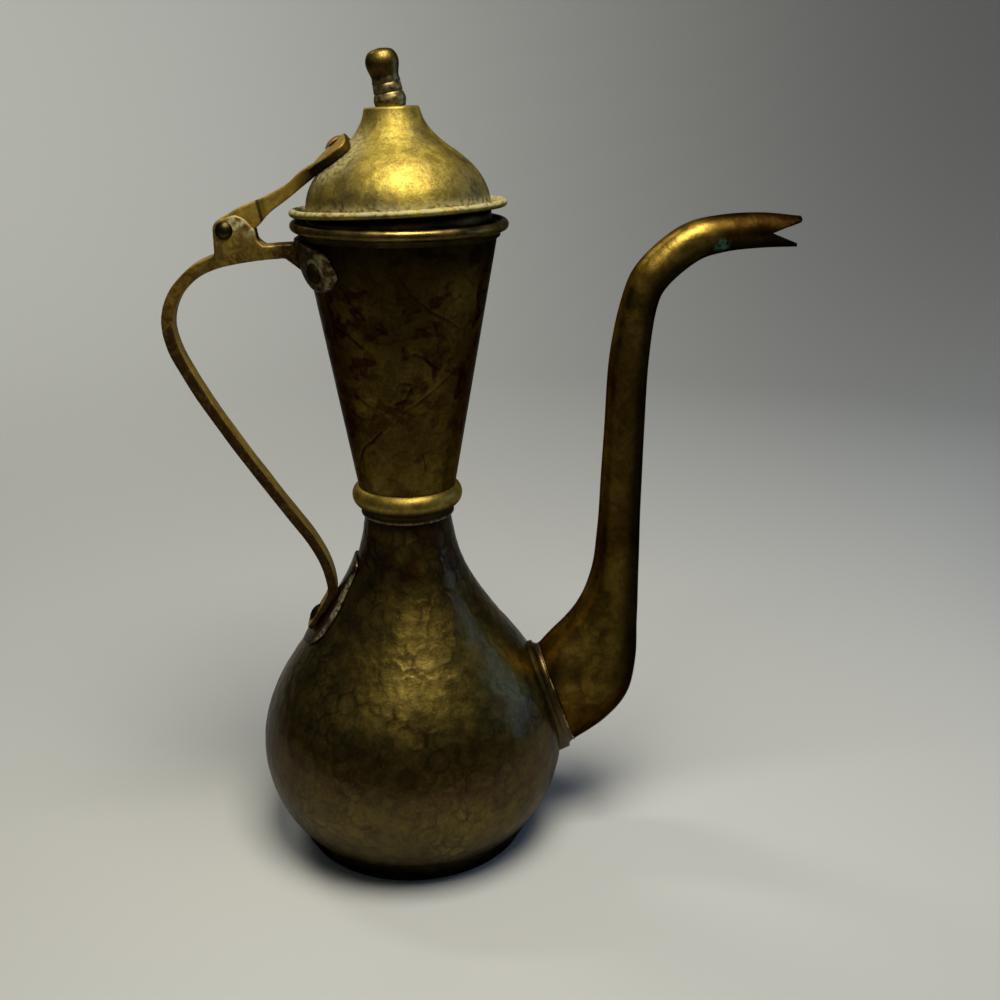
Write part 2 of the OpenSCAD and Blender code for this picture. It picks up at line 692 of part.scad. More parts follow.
// Finial: foot bead, two grooved bands, a waist and a flattened ball
module finial() {
    foot = finial_stem_r + 0.7;
    groove = finial_stem_r - 0.25;
    ball_z = finial_h * 0.73;
    waist_z = finial_h * 0.5;
    turned = concat(
        [[0, -1], [foot - 0.45, -1]],
        smooth([[foot - 0.45, 0.2], [foot, 2.2], [finial_stem_r + 0.2, 4.3]], 4),
        [[groove, 4.6], [finial_stem_r + 0.15, 4.8], [finial_stem_r, 7.5], [groove, 7.8],
         [finial_stem_r + 0.05, 8]],
        smooth([[finial_stem_r - 0.2, waist_z - 0.4], [finial_stem_r - 0.1, waist_z + 0.8],
                [finial_ball_r, ball_z], [finial_ball_r * 0.93, ball_z + 2.5],
                [finial_ball_r * 0.66, finial_h - 0.85], [0, finial_h]], 5));
    color(warm_brass) ajar() twisted() translate([0, 0, dome_top_z]) {
        difference() {
            rotate([0, -finial_lean, 0]) rotate_extrude() polygon(turned);
            translate([0, 0, -far / 2]) cube(far, center = true);
        }
        translate([0, 0, -lid_sheet - seat_lift]) cylinder(h = lid_sheet + 1, r = tang_r);
        translate([0, 0, -lid_sheet]) mirror([0, 0, 1]) dome_head(tang_r * 1.5, low_head_h);
    }
}

base_pan();
body();
throat();
neck_collar();
neck_cone();
rim_ring();
spout_socket();
spout();
handle();
handle_patch();
neck_rivets();
lower_rivet();
hinge_pin();
lid_dome();
lid_flange();
lid_sleeve();
lid_strap();
strap_rivet();
finial();
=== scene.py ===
# Long-necked brass pouring ewer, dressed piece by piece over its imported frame.
# Metres in the scene; the maker's outlines are written in millimetres and turned to metres when spun.
import json
import math
import random

import bmesh
import bpy
from mathutils import Matrix, Vector, kdtree, noise


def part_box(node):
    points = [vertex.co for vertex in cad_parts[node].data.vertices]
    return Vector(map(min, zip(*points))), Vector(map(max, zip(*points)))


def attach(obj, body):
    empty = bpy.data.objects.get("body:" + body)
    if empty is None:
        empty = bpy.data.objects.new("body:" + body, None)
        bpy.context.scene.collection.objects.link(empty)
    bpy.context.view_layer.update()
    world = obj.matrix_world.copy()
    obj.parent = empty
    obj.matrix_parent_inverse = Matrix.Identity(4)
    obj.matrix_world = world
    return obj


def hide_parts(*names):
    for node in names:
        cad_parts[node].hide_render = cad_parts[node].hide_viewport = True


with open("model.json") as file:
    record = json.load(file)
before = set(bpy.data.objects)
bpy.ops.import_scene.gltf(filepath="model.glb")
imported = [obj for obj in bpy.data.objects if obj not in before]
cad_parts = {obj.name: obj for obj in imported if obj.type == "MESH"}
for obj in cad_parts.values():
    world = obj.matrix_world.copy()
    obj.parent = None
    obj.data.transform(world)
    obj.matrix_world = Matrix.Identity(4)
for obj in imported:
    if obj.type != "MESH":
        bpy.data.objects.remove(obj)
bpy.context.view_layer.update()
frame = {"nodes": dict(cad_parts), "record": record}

# Base pan: a shallow dish of sheet brass that closes the bulb from below and carries the whole ewer.
# It is soldered into the bulb with an upright lip, and its brass is painted near black as painted shade
# under the bulb.
MM = 0.001
vessel_body = "vessel"
lid_body = "lid"


def add(finish, kind, inputs=(), **settings):
    """A node of a finish, with its settings, and its inputs set or wired."""
    made = finish.node_tree.nodes.new(kind)
    for name, value in settings.items():
        setattr(made, name, value)
    for name, value in dict(inputs).items():
        if isinstance(value, bpy.types.NodeSocket):
            finish.node_tree.links.new(value, made.inputs[name])
        else:
            made.inputs[name].default_value = value
    return made


def spread(finish, value, low, high, lowest=0, highest=1):
    """A soft step of a value between two levels."""
    return add(finish, "ShaderNodeMapRange", {0: value, 1: low, 2: high, 3: lowest, 4: highest},
               interpolation_type="SMOOTHSTEP").outputs[0]


def clouds(finish, scale, low, high, detail=5, distortion=0.0, stretch=(1, 1, 1)):
    """Soft blotches in the metal, as many to the metre as the scale says."""
    place = add(finish, "ShaderNodeTexCoord").outputs["Object"]
    turned = add(finish, "ShaderNodeMapping", {"Vector": place, "Scale": stretch}).outputs[0]
    grain = add(finish, "ShaderNodeTexNoise",
                {"Vector": turned, "Scale": scale, "Detail": detail, "Distortion": distortion})
    return spread(finish, grain.outputs[0], low, high)


def tint(finish, factor, under, over, mode="MIX"):
    """One colour laid over another."""
    return add(finish, "ShaderNodeMix", {0: factor, 6: under, 7: over},
               data_type="RGBA", blend_type=mode).outputs[2]


def reckon(finish, operation, first, second):
    """The sum, product or greater of two values, held between 0 and 1."""
    return add(finish, "ShaderNodeMath", {0: first, 1: second}, operation=operation,
               use_clamp=True).outputs[0]


def painted(finish, name):
    """A mark that the piece carries on its own points."""
    return add(finish, "ShaderNodeAttribute", attribute_name=name).outputs["Fac"]


# Colours laid over the metal; the first is the dark of dirt and also of painted shade.
shade_and_soot = (0.004, 0.003, 0.002, 1)
chalk = (0.40, 0.365, 0.19, 1)
verdigris = (0.035, 0.13, 0.095, 1)
blotch_tints = ((1.06, 1.05, 1.03, 1), (0.76, 0.73, 0.69, 1))
grain_tints = ((0.89, 0.89, 0.88, 1), (1.11, 1.10, 1.08, 1))
# How fine each pattern of the metal is, in blotches to the metre
wear_scale = 26
crack_scale = 48
scatter_scale = 62
gloss_scale = 120
blotch_scale = 210
bloom_scale = 500
crust_scale = 640
relief_scale = 700
grain_scale = 900
glint_scale = 1150
speck_scale = 1500
# How strongly some of them show
scatter_share = 0.6
glint_share = 0.25
speck_share = 0.4
pit_share = 0.6
dirt_rough = 0.25
gloss_range = 0.14
skin_depth = 0.12
skin_strength = 0.3
wax_rough = 0.22
crust_metal = 0.1


def aged_brass(name, bright, patina, stain, shine, metal=1.0, edge=0.35, wear=(0.42, 0.66),
               blows=0.0, wax=0.0, stains=85):
    """Brass under brown patina: bare metal in clouds, ragged stains, dark pits and the piece's own marks,
    some of which are painted highlight and painted shade.
    """
    finish = bpy.data.materials.new(name)
    finish.use_nodes = True
    finish.node_tree.nodes.clear()
    # The wear mark also carries painted highlights, and the grime and tarnish marks also carry painted
    # shade, laid into the colour here.
    bare_and_sheen = reckon(finish, "ADD", clouds(finish, wear_scale, *wear, detail=6), painted(finish, "wear_and_sheen"))
    colour = tint(finish, bare_and_sheen, (*patina, 1), (*bright, 1))

    ragged = clouds(finish, stains, 0.38, 0.60, detail=9, distortion=1.1)
    tarnish_and_shade = reckon(finish, "MULTIPLY", painted(finish, "tarnish_and_shade"), spread(finish, ragged, 0, 1, 0.45, 1))
    scatter = clouds(finish, scatter_scale, 0.56, 0.70, detail=8, distortion=0.8)
    scatter = reckon(finish, "MULTIPLY", scatter, scatter_share)
    colour = tint(finish, reckon(finish, "MAXIMUM", tarnish_and_shade, scatter), colour, (*stain, 1))

    blotch = clouds(finish, blotch_scale, 0.42, 0.62, detail=8, distortion=0.9)
    colour = tint(finish, 1, colour, tint(finish, blotch, *blotch_tints), "MULTIPLY")
    grain = clouds(finish, grain_scale, 0.36, 0.64, detail=6)
    colour = tint(finish, 1, colour, tint(finish, grain, *grain_tints), "MULTIPLY")
    glint = reckon(finish, "MULTIPLY", clouds(finish, glint_scale, 0.64, 0.74, detail=3), glint_share)
    colour = tint(finish, glint, colour, (*(1.6 * c for c in bright), 1))

    speck = clouds(finish, speck_scale, 0.60, 0.69, detail=2)
    dirt_and_shade = reckon(finish, "MULTIPLY", speck, speck_share)
    dirt_and_shade = reckon(finish, "MAXIMUM", painted(finish, "grime_and_shade"), dirt_and_shade)
    if blows:
        crack = reckon(finish, "MULTIPLY", painted(finish, "blow"), clouds(finish, crack_scale, 0.42, 0.62))
        crack = reckon(finish, "MULTIPLY", crack, blows)
        colour = tint(finish, crack, colour, (*(0.3 * c for c in stain), 1))
    colour = tint(finish, dirt_and_shade, colour, shade_and_soot)
    crust = clouds(finish, crust_scale, 0.28, 0.60, detail=7)
    crust = reckon(finish, "MULTIPLY", painted(finish, "oxide"), crust)
    colour = tint(finish, crust, colour, chalk)
    bloom = clouds(finish, bloom_scale, 0.35, 0.6)
    bloom = reckon(finish, "MULTIPLY", painted(finish, "verdigris"), bloom)
    colour = tint(finish, bloom, colour, verdigris)

    dull = reckon(finish, "MAXIMUM", crust, bloom)
    matt = reckon(finish, "MULTIPLY", reckon(finish, "MAXIMUM", dull, dirt_and_shade), dirt_rough)
    gloss = clouds(finish, gloss_scale, 0.3, 0.7, detail=7)
    rough = reckon(finish, "ADD", spread(finish, gloss, 0, 1, shine, shine + gloss_range), matt)
    pits = reckon(finish, "MULTIPLY", speck, pit_share)
    relief = reckon(finish, "SUBTRACT", clouds(finish, relief_scale, 0.25, 0.75, detail=6), pits)
    bump = add(finish, "ShaderNodeBump",
               {"Strength": skin_strength, "Distance": skin_depth * MM, "Height": relief})
    shader = add(finish, "ShaderNodeBsdfPrincipled",
                 {"Base Color": colour, "Metallic": spread(finish, dull, 0, 1, metal, crust_metal),
                  "Roughness": rough, "Specular Tint": (edge, edge, edge, 1), "Normal": bump.outputs[0],
                  "Coat Weight": wax, "Coat Roughness": wax_rough})
    add(finish, "ShaderNodeOutputMaterial", {"Surface": shader.outputs[0]})
    return finish


def spun(outline, steps, place=None):
    """An outline of (radius, height) points in millimetres, spun about the axis; clear of it, a ring."""
    bm = bmesh.new()
    verts = [bm.verts.new((r * MM, 0, z * MM)) for r, z in outline]
    edges = [bm.edges.new(pair) for pair in zip(verts, verts[1:])]
    if outline[0][0] > 0:
        edges.append(bm.edges.new((verts[-1], verts[0])))
    bmesh.ops.spin(bm, geom=verts + edges, cent=(0, 0, 0), axis=(0, 0, 1), angle=math.tau, steps=steps,
                   use_merge=True)
    bmesh.ops.remove_doubles(bm, verts=bm.verts, dist=0.5e-6)
    bmesh.ops.recalc_face_normals(bm, faces=bm.faces)
    if place:
        bmesh.ops.transform(bm, matrix=place, verts=bm.verts)
    bm.normal_update()
    return bm


def piece(name, bm, body, nodes, finish):
    """The finished piece: its mesh and finish, the body it moves with and the solids it stands for."""
    mesh = bpy.data.meshes.new(name)
    bm.to_mesh(mesh)
    bm.free()
    mesh.shade_smooth()
    mesh.materials.append(finish)
    made = bpy.data.objects.new(name, mesh)
    bpy.context.scene.collection.objects.link(made)
    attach(made, body)
    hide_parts(*nodes)
    return made


def step(value, low, high):
    """0 below the low level, 1 above the high one, and a soft rise between."""
    t = min(1, max(0, (value - low) / (high - low)))
    return t * t * (3 - 2 * t)


def mark(bm, name, strength):
    """Writes how strongly a mark shows at each point."""
    layer = bm.verts.layers.float.get(name) or bm.verts.layers.float.new(name)
    for v in bm.verts:
        v[layer] = strength(v.co / MM)


sheet = 1.2
seam_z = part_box("body")[0].z / MM
pan_seam_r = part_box("base_pan")[1].x / MM
pan_foot_r = 44.8
pan_floor = 1.6
pan_lip = 4
pan_edge = 1.4
pan_wall = pan_seam_r - sheet - 0.1
pan_outline = [(0, 0.25), (pan_foot_r - 8, 0.25), (pan_foot_r - 6, 0), (pan_foot_r - pan_edge, 0),
               (pan_foot_r - 0.4, 0.25), (pan_foot_r + 0.1, pan_edge),
               (pan_foot_r + 2.1, seam_z * 0.5), (pan_seam_r - 0.25, seam_z - 0.5),
               (pan_seam_r - 0.3, seam_z),
               (pan_wall, seam_z), (pan_wall, seam_z + pan_lip), (pan_wall - sheet, seam_z + pan_lip),
               (pan_wall - sheet, seam_z), (pan_foot_r - sheet, pan_floor), (0, pan_floor)]
pan = spun(pan_outline, 192)
mark(pan, "wear_and_sheen", lambda p: 0.5 * step(p.z, 2.5, 0.6) * step(p.xy.length, 38, 42))
# Painted shade: the pan's colours are near black for the shadow at the ewer's foot.
foot_brass = aged_brass("foot_brass", (0.030, 0.024, 0.014), (0.010, 0.008, 0.005),
                        (0.006, 0.005, 0.004), 0.42)
piece("pan_dish", pan, vessel_body, ["base_pan"], foot_brass)

# Bulb: raised from one sheet of brass, hollow at the shoulder and drawn in to the throat.
# Its skin is planished all over with hammer blows that overlap, about 5 mm apart, under a brown patina.
bulb_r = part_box("body")[1].y / MM
throat_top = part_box("throat")[1].z / MM
belly_z = seam_z + 30.7
shoulder = Vector((35.8, belly_z + 49.8))
throat = Vector((16.3, throat_top - 6))


def cubic(a, b, c, d, count):
    """Points along a cubic curve, past its first point."""
    points = []
    for i in range(1, count + 1):
        t = i / count
        s = 1 - t
        points.append(s ** 3 * Vector(a) + 3 * s * s * t * Vector(b)
                      + 3 * s * t * t * Vector(c) + t ** 3 * Vector(d))
    return points


def bulb_wall(rows):
    """Outer outline of the bulb from the seam to the throat."""
    first = Vector((pan_seam_r, seam_z))
    belly = Vector((bulb_r, belly_z))
    return [first,
            *cubic(first, first + Vector((0.8, 0.7)), belly - Vector((0, 18.5)), belly, rows),
            *cubic(belly, belly + Vector((0, 22.5)), shoulder + Vector((5.48, -7.5)), shoulder, rows),
            *cubic(shoulder, shoulder + Vector((-13.23, 18.12)), throat + Vector((2.17, -18.12)),
                   throat, rows)]


def inside(outline, thickness):
    """The outline moved in towards the axis, from its last point to its first."""
    moved = []
    for i in range(len(outline) - 1, -1, -1):
        along = (outline[min(i + 1, len(outline) - 1)] - outline[max(i - 1, 0)]).normalized()
        moved.append(outline[i] + thickness * Vector((-along.y, along.x)))
    return moved


def blows_over(outline, spacing):
    """Middles of hammer blows in uneven rings over a spun wall, in the order in which they fell."""
    chance = random.Random(5)
    spots = []
    walked = 0
    for a, b in zip(outline, outline[1:]):
        walked += (b - a).length
        if walked < spacing:
            continue
        walked = 0
        count = max(3, round(math.tau * b.x / spacing))
        for i in range(count):
            angle = math.tau * (i + chance.uniform(-0.4, 0.4)) / count
            spot = b + (b - a).normalized() * spacing * chance.uniform(-0.4, 0.4)
            spots.append(Vector((spot.x * math.cos(angle), spot.x * math.sin(angle), spot.y)) * MM)
    chance.shuffle(spots)
    return spots


def beat(bm, spots, radius, depth, line):
    """Flattens the skin under each round blow, the last one uppermost, and marks its edge."""
    struck = kdtree.KDTree(len(spots))
    for i, spot in enumerate(spots):
        struck.insert(spot, i)
    struck.balance()
    edge_layer = bm.verts.layers.float.new("blow")
    worn_layer = bm.verts.layers.float.new("wear_and_sheen")
    for v in bm.verts:
        near = struck.find_range(v.co, radius * MM)
        if near:
            distance = max(near, key=lambda found: found[1])[2] / MM
            v[edge_layer] = step(distance, radius - line, radius - line / 3)
            v[worn_layer] = step(distance, radius * 0.8, radius * 0.3)
            v.co -= v.normal * depth * MM * (1 - (distance / radius) ** 2)


bulb_rows = 62
blow_spacing = 5.4
blow_r = 4.4
blow_depth = 0.13
blow_line = 1.4
# Where the bulb's marks rise and fade, as two heights each
belt_rise = (36, 45)
belt_fade = (68, 59)
throat_rise = (92, 116)
glow_rise = (56, 70)
glow_fade = (122, 92)
bare_blow_rise = (84, 104)
bulb_skin = bulb_wall(bulb_rows)
bulb_outline = [*bulb_skin, (throat.x, throat_top), (throat.x - sheet, throat_top),
                *inside(bulb_wall(8), sheet)]
bulb = spun(bulb_outline, 440)
beat(bulb, blows_over(bulb_skin, blow_spacing), blow_r, blow_depth, blow_line)


def bulb_tarnish_and_reflection(p):
    """Red-brown tarnish at the throat, and an uneven dark belt above the bulb's widest place, a painted
    reflection of a dark room.
    """
    wavy = p.z + 5 * noise.noise(p / 24)
    belt = step(wavy, *belt_rise) * step(wavy, *belt_fade)
    upper = step(wavy, *throat_rise)
    red = 1.3 * upper * step(noise.noise(p / 9), -0.1, 0.25)
    return max(0.6 * belt, 0.4 * upper, red) * (0.7 + 0.6 * noise.noise(p / 7))


# Painted highlight: a broad glow over the bulb's middle is laid into the wear mark, beside the worn middles
# of the hammer blows.
wear_and_glow_layer = bulb.verts.layers.float["wear_and_sheen"]
for v in bulb.verts:
    spot = v.co / MM
    painted_glow = step(spot.z + 4 * noise.noise(spot / 20), *glow_rise) * step(spot.z, *glow_fade)
    shown = 0.08 + 0.3 * step(spot.z, *bare_blow_rise)
    v[wear_and_glow_layer] = max(0.26 * painted_glow, shown * v[wear_and_glow_layer] * step(noise.noise(spot / 9), -0.2, 0.3))
mark(bulb, "tarnish_and_shade", bulb_tarnish_and_reflection)
mark(bulb, "grime_and_shade", lambda p: 0.7 * step(p.z, throat.y - 8, throat.y))
bulb_brass = aged_brass("bulb_brass", (0.205, 0.150, 0.033), (0.076, 0.055, 0.010),
                        (0.058, 0.023, 0.0045), 0.34, edge=0.4, wear=(0.52, 0.80), blows=0.6, wax=0.26)
piece("bulb_shell", bulb, vessel_body, ["body", "throat"], bulb_brass)

# Collar: a half-round brass bead with a short skirt, slipped over the throat and soldered there.
# Every hand that lifts the ewer rubs it, so it is the brightest ring on the vessel; its upper half is
# painted brighter as a painted highlight and its underside darker as painted shade.
collar_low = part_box("neck_collar")[0].z / MM
collar_bead = 4.4
collar_mid = Vector((throat.x + 0.1, collar_low + 3 + collar_bead))
skirt_r = collar_mid.x + 1


def arc(middle, radius, first, last, count):
    """Points along an arc, from one angle to another in degrees."""
    turns = [math.radians(first + (last - first) * i / count) for i in range(count + 1)]
    return [middle + radius * Vector((math.cos(a), math.sin(a))) for a in turns]


collar_outline = [(skirt_r - 0.8, collar_low), (skirt_r + 0.1, collar_low + 0.1),
                  (skirt_r + 0.25, collar_low + 0.5), (skirt_r, collar_low + 1.2),
                  (skirt_r - 0.05, collar_low + 2.6),
                  *arc(collar_mid, collar_bead, -72, 63, 30), (collar_mid.x + 0.3, collar_mid.y + 3.4)]
collar = spun(collar_outline, 192)
# Painted highlight on the bead's upper half and painted shade under it.
mark(collar, "wear_and_sheen", lambda p: step(p.z, collar_mid.y - 2.5, collar_mid.y + 1.5))
mark(collar, "grime_and_shade", lambda p: 0.85 * step(p.z, collar_mid.y + 0.2, collar_mid.y - 3.2))
mark(collar, "oxide", lambda p: 0.7 * step(p.z, collar_low + 0.9, collar_low + 0.3))
rubbed_brass = aged_brass("rubbed_brass", (0.31, 0.225, 0.046), (0.24, 0.170, 0.036),
                          (0.13, 0.070, 0.020), 0.34, 0.9)
piece("collar_bead", collar, vessel_body, ["neck_collar"], rubbed_brass)

# Neck: a cone of sheet brass, seamed and soldered into the collar, with a worn engraved vine.
# Patina darkens it to brown with reddish stains, and the engraver's lines hold the dirt.
neck_low, neck_high = (corner.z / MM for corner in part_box("neck_cone"))
neck_top_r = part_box("neck_cone")[1].y / MM
neck_low_r = 17.4


def neck_r(z):
    """Outer radius of the neck at a height."""
    return neck_low_r + (neck_top_r - neck_low_r) * (z - neck_low) / (neck_high - neck_low)


# Each stroke of the vine: its width, then its points as degrees round from the front and height above
# the neck's foot
vine = [
    (0.5, [(-41, 84), (-33, 77), (-22, 71), (-12, 68)]),
    (0.6, [(-3, 89), (6, 81), (18, 75), (32, 71), (44, 67)]),
    (0.5, [(-12, 33), (0, 39), (14, 43), (32, 49), (50, 55)]),
    (0.5, [(-78, 43), (-58, 38), (-40, 35), (-25, 36)]),
    (0.5, [(-50, 46), (-36, 42), (-22, 38)]),
    (0.6, [(-22, 31), (-32, 27), (-44, 24), (-53, 19), (-52, 12), (-44, 6)]),
    (0.5, [(36, 89), (50, 83), (62, 80), (74, 78)]),
    (0.4, [(38, 90), (52, 89), (64, 88)]),
    (1.1, [(8, 60), (16, 58), (25, 54)]),
    (0.8, [(-9, 45), (-3, 50), (5, 49)]),
    (0.8, [(-8, 42), (0, 43), (6, 48)]),
    (0.9, [(-52, 68), (-40, 66), (-30, 62)]),
    (0.6, [(22, 70), (26, 64)]),
    (0.6, [(52, 55), (57, 49), (60, 43)]),
    (0.5, [(16, 22), (20, 16)]),
]
vine_turns = (0, 180)
vine_depth = 0.16
stroke_steps = 24
lines = [(width, math.radians(turn - 90 + a0), z0, math.radians(turn - 90 + a1), z1)
         for turn in vine_turns for width, points in vine for (a0, z0), (a1, z1) in zip(points, points[1:])]
cuts = []
for width, a0, z0, a1, z1 in lines:
    for i in range(stroke_steps):
        a = a0 + (a1 - a0) * i / stroke_steps
        z = neck_low + z0 + (z1 - z0) * i / stroke_steps
        cuts.append((Vector((math.cos(a) * neck_r(z), math.sin(a) * neck_r(z), z)), width))
engraved = kdtree.KDTree(len(cuts))
for i, (point, width) in enumerate(cuts):
    engraved.insert(point, i)
engraved.balance()


def cut_here(p):
    """How deep the graver went at a point, from 0 to 1; the lines fade in and out with wear."""
    _, i, distance = engraved.find(p)
    worn = 0.45 + 0.55 * step(noise.noise(p / 7), -0.3, 0.3)
    return worn * (1 - step(distance, cuts[i][1] * 0.35, cuts[i][1] * 0.9))


neck_rows = 190
neck_outer = [Vector((neck_r(z), z)) for z in (neck_low + (neck_high - neck_low) * i / neck_rows
                                               for i in range(neck_rows + 1))]
neck_inner = [Vector((neck_r(z) - sheet, z)) for z in (neck_high, (neck_low + neck_high) / 2, neck_low)]
neck = spun([*neck_outer, *neck_inner], 380)
mark(neck, "cut", cut_here)
cut_layer = neck.verts.layers.float["cut"]
for v in neck.verts:
    v.co -= v.normal * v[cut_layer] * vine_depth * MM


def neck_tarnish(p):
    """Ragged red-brown patches, thicker towards the mouth."""
    patches = step(noise.noise(p / 9) + 0.5 * noise.noise(p / 3), 0.04, 0.22)
    return patches * (0.45 + 0.5 * step(p.z, neck_low + 8, neck_low + 60))


mark(neck, "tarnish_and_shade", neck_tarnish)
mark(neck, "wear_and_sheen", lambda p: 0.7 * step(p.z, neck_low + 34, neck_low + 8))
mark(neck, "grime_and_shade", lambda p: max(0.85 * cut_here(p), 0.62 * step(p.z, neck_high - 26, neck_high - 6)))
neck_brass = aged_brass("neck_brass", (0.125, 0.086, 0.017), (0.064, 0.041, 0.008),
                        (0.034, 0.0115, 0.0045), 0.30, wear=(0.5, 0.72), stains=170)
piece("neck_wall", neck, vessel_body, ["neck_cone"], neck_brass)

# Rim: a rolled bead with a narrow skirt that stiffens the mouth and hides the neck's raw edge.
# The bead's top is painted brighter, partly wear from the lid and pouring hands and partly a painted
# highlight, and the skirt under it is painted dark as painted shade.
rim_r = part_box("rim_ring")[1].y / MM
rim_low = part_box("rim_ring")[0].z / MM
rim_bead = 1.9
rim_mid = Vector((rim_r - rim_bead, neck_high - rim_bead / 2))
rim_skirt = neck_r(rim_low) + 1
rim_outline = [(rim_skirt - 0.8, rim_low), (rim_skirt - 0.15, rim_low), (rim_skirt + 0.1, rim_low + 0.3),
               (rim_skirt + 0.1, rim_low + 1.6), *arc(rim_mid, rim_bead, -95, 120, 24),
               (neck_top_r + 0.1, neck_high + 0.2), (neck_r(rim_low + 2) + 0.1, rim_low + 2)]
rim = spun(rim_outline, 224)
# Painted highlight on the bead's top, and painted shade on the skirt under the bead.
mark(rim, "wear_and_sheen", lambda p: 0.5 * step(p.xy.length, rim_r - 1.6, rim_r - 0.6)
     * step(p.z, rim_mid.y - 1.2, rim_mid.y))
mark(rim, "grime_and_shade", lambda p: 0.7 * step(p.xy.length, rim_r - 1.9, rim_r - 2.6))
rim_brass = aged_brass("rim_brass", (0.23, 0.165, 0.050), (0.060, 0.042, 0.014), (0.040, 0.022, 0.009), 0.30)
piece("rim_roll", rim, vessel_body, ["rim_ring"], rim_brass)

# Spout: two beaten halves of sheet brass brazed into one tapering tube that swells at its root,
# stands up beside the neck, bends over, and ends in a beak with a V notch between two jaws.
root_z = belly_z + 15
root_r = next(a.x + (b.x - a.x) * (root_z - a.y) / (b.y - a.y)
              for a, b in zip(bulb_skin, bulb_skin[1:]) if a.y <= root_z < b.y)
root_x = root_r + 0.9
root_tilt = 19.5
root_half_h = 21.8
root_half_w = 16
# From the middle of the root's face: across, up, heading in degrees, half height, half width
spout_sections = [
    (0, 0, root_tilt, root_half_h, root_half_w),
    (9, 7.6, 31, 21.9, 16.5),
    (15.8, 15.8, 40, 20.5, 15.5),
    (19.9, 27, 46, 16.7, 13.2),
    (21.8, 39.4, 52, 12.8, 11.4),
    (22.9, 53.2, 68, 9.6, 9.8),
    (23.5, 72, 87, 8.2, 8.5),
    (23.9, 91, 88, 7.9, 8.1),
    (24.4, 110, 89, 7.6, 7.7),
    (25.3, 137, 87, 7.4, 7.4),
    (28.5, 158.2, 70, 6.8, 7.2),
    (33.6, 168.9, 50, 7, 7.2),
    (46, 179.2, 28, 7.1, 7.1),
    (58, 182.6, 6, 6.7, 6.8),
    (72, 183.6, 0, 6.3, 6.3),
    (86, 183.1, -2, 5.5, 5.5)]
spout_wall = 1.2
beak_notch = 11.2
jaw_slopes = (-0.5, 0.385)


def between(a, b, c, d, t):
    """One point of the smooth curve through four neighbours."""
    return b + t / 2 * (c - a + t * (2 * a - 5 * b + 4 * c - d + t * (3 * b - a - 3 * c + d)))


def smooth(points, count):
    """Points along the smooth curve through all the points."""
    ends = [2 * points[0] - points[1], *points, 2 * points[-1] - points[-2]]
    curve = [between(*ends[i:i + 4], j / count) for i in range(len(points) - 1) for j in range(count)]
    return [*curve, points[-1]]


def section_place(section):
    """Matrix that lays a unit circle of the XY plane on a section of the spout."""
    across, up, heading, half_h, half_w = section
    turn = math.radians(heading)
    rise = Vector((-math.sin(turn), 0, math.cos(turn)))
    ahead = Vector((math.cos(turn), 0, math.sin(turn)))
    columns = (rise * half_h * MM, Vector((0, half_w * MM, 0)), ahead * MM,
               Vector(((root_x + across) * MM, 0, (root_z + up) * MM)))
    place = Matrix.Identity(4)
    for i, column in enumerate(columns):
        for row in range(3):
            place[row][i] = column[row]
    return place


def tube_through(places, sides):
    """A tube drawn out from ring to ring through the places."""
    bm = bmesh.new()
    ring = bmesh.ops.create_circle(bm, segments=sides, radius=1, matrix=places[0])["verts"]
    edges = list(bm.edges)
    for before, after in zip(places, places[1:]):
        drawn = bmesh.ops.extrude_edge_only(bm, edges=edges)["geom"]
        ring = [g for g in drawn if isinstance(g, bmesh.types.BMVert)]
        edges = [g for g in drawn if isinstance(g, bmesh.types.BMEdge)]
        bmesh.ops.transform(bm, matrix=after @ before.inverted(), verts=ring)
    bmesh.ops.recalc_face_normals(bm, faces=bm.faces)
    bm.normal_update()
    return bm


sections = smooth([Vector(s) for s in spout_sections], 8)
spout = tube_through([section_place(s) for s in sections], 64)
tip_across, tip_up = spout_sections[-1][:2]
notch = Vector(((root_x + tip_across - beak_notch) * MM, 0, (root_z + tip_up) * MM))
jaw_normals = [Vector((slope, 0, -1)).normalized() for slope in jaw_slopes]
for normal in jaw_normals:
    near_beak = [f for f in spout.faces if f.calc_center_median().x > notch.x - 2 * MM]
    rims = {e for f in near_beak for e in f.edges} | {v for f in near_beak for v in f.verts}
    bmesh.ops.bisect_plane(spout, geom=[*near_beak, *rims], plane_co=notch, plane_no=normal, dist=1e-7)


def in_notch(face):
    """Whether a face lies in the V between the two jaws."""
    reach = face.calc_center_median() - notch
    return reach.dot(jaw_normals[0]) < 0 < reach.dot(jaw_normals[1]) and reach.x > 0


bmesh.ops.delete(spout, geom=[f for f in spout.faces if in_notch(f)], context="FACES")
spout.normal_update()
bend_top = Vector((root_x + 40, 0, root_z + 184))
bend_reach = (20, 5)
root_gold = Vector((root_x + 11, 12, root_z + 16))
gold_reach = (19, 8)
green_spot = Vector((root_x + 56.5, -6, root_z + 179))
green_reach = (3.6, 1.6)
# Where the spout's films rise and fade: heights, and distances out for the beak
tube_rise = (root_z + 20, root_z + 48)
tube_fade = (root_z + 172, root_z + 150)
root_fade = (root_z + 34, root_z + 10)
heel_fade = (root_z + 6, root_z - 14)
far_rise = (root_z - 24, root_z + 20)
beak_rise = (root_x + 44, root_x + 62)
beak_top_rise = (root_x + 42, root_x + 56)
jaw_rise = (root_x + 62, root_x + 86)
jaw_fade = (root_z + 183, root_z + 176)


def spout_highlight_and_wear(p):
    """Bright on top of the bend, a painted highlight, and on the upper cheeks of the root."""
    cheek = Vector((p.x, abs(p.y), p.z))
    bend = step((p - bend_top).length, *bend_reach)
    return max(0.9 * bend, step((cheek - root_gold).length, *gold_reach))


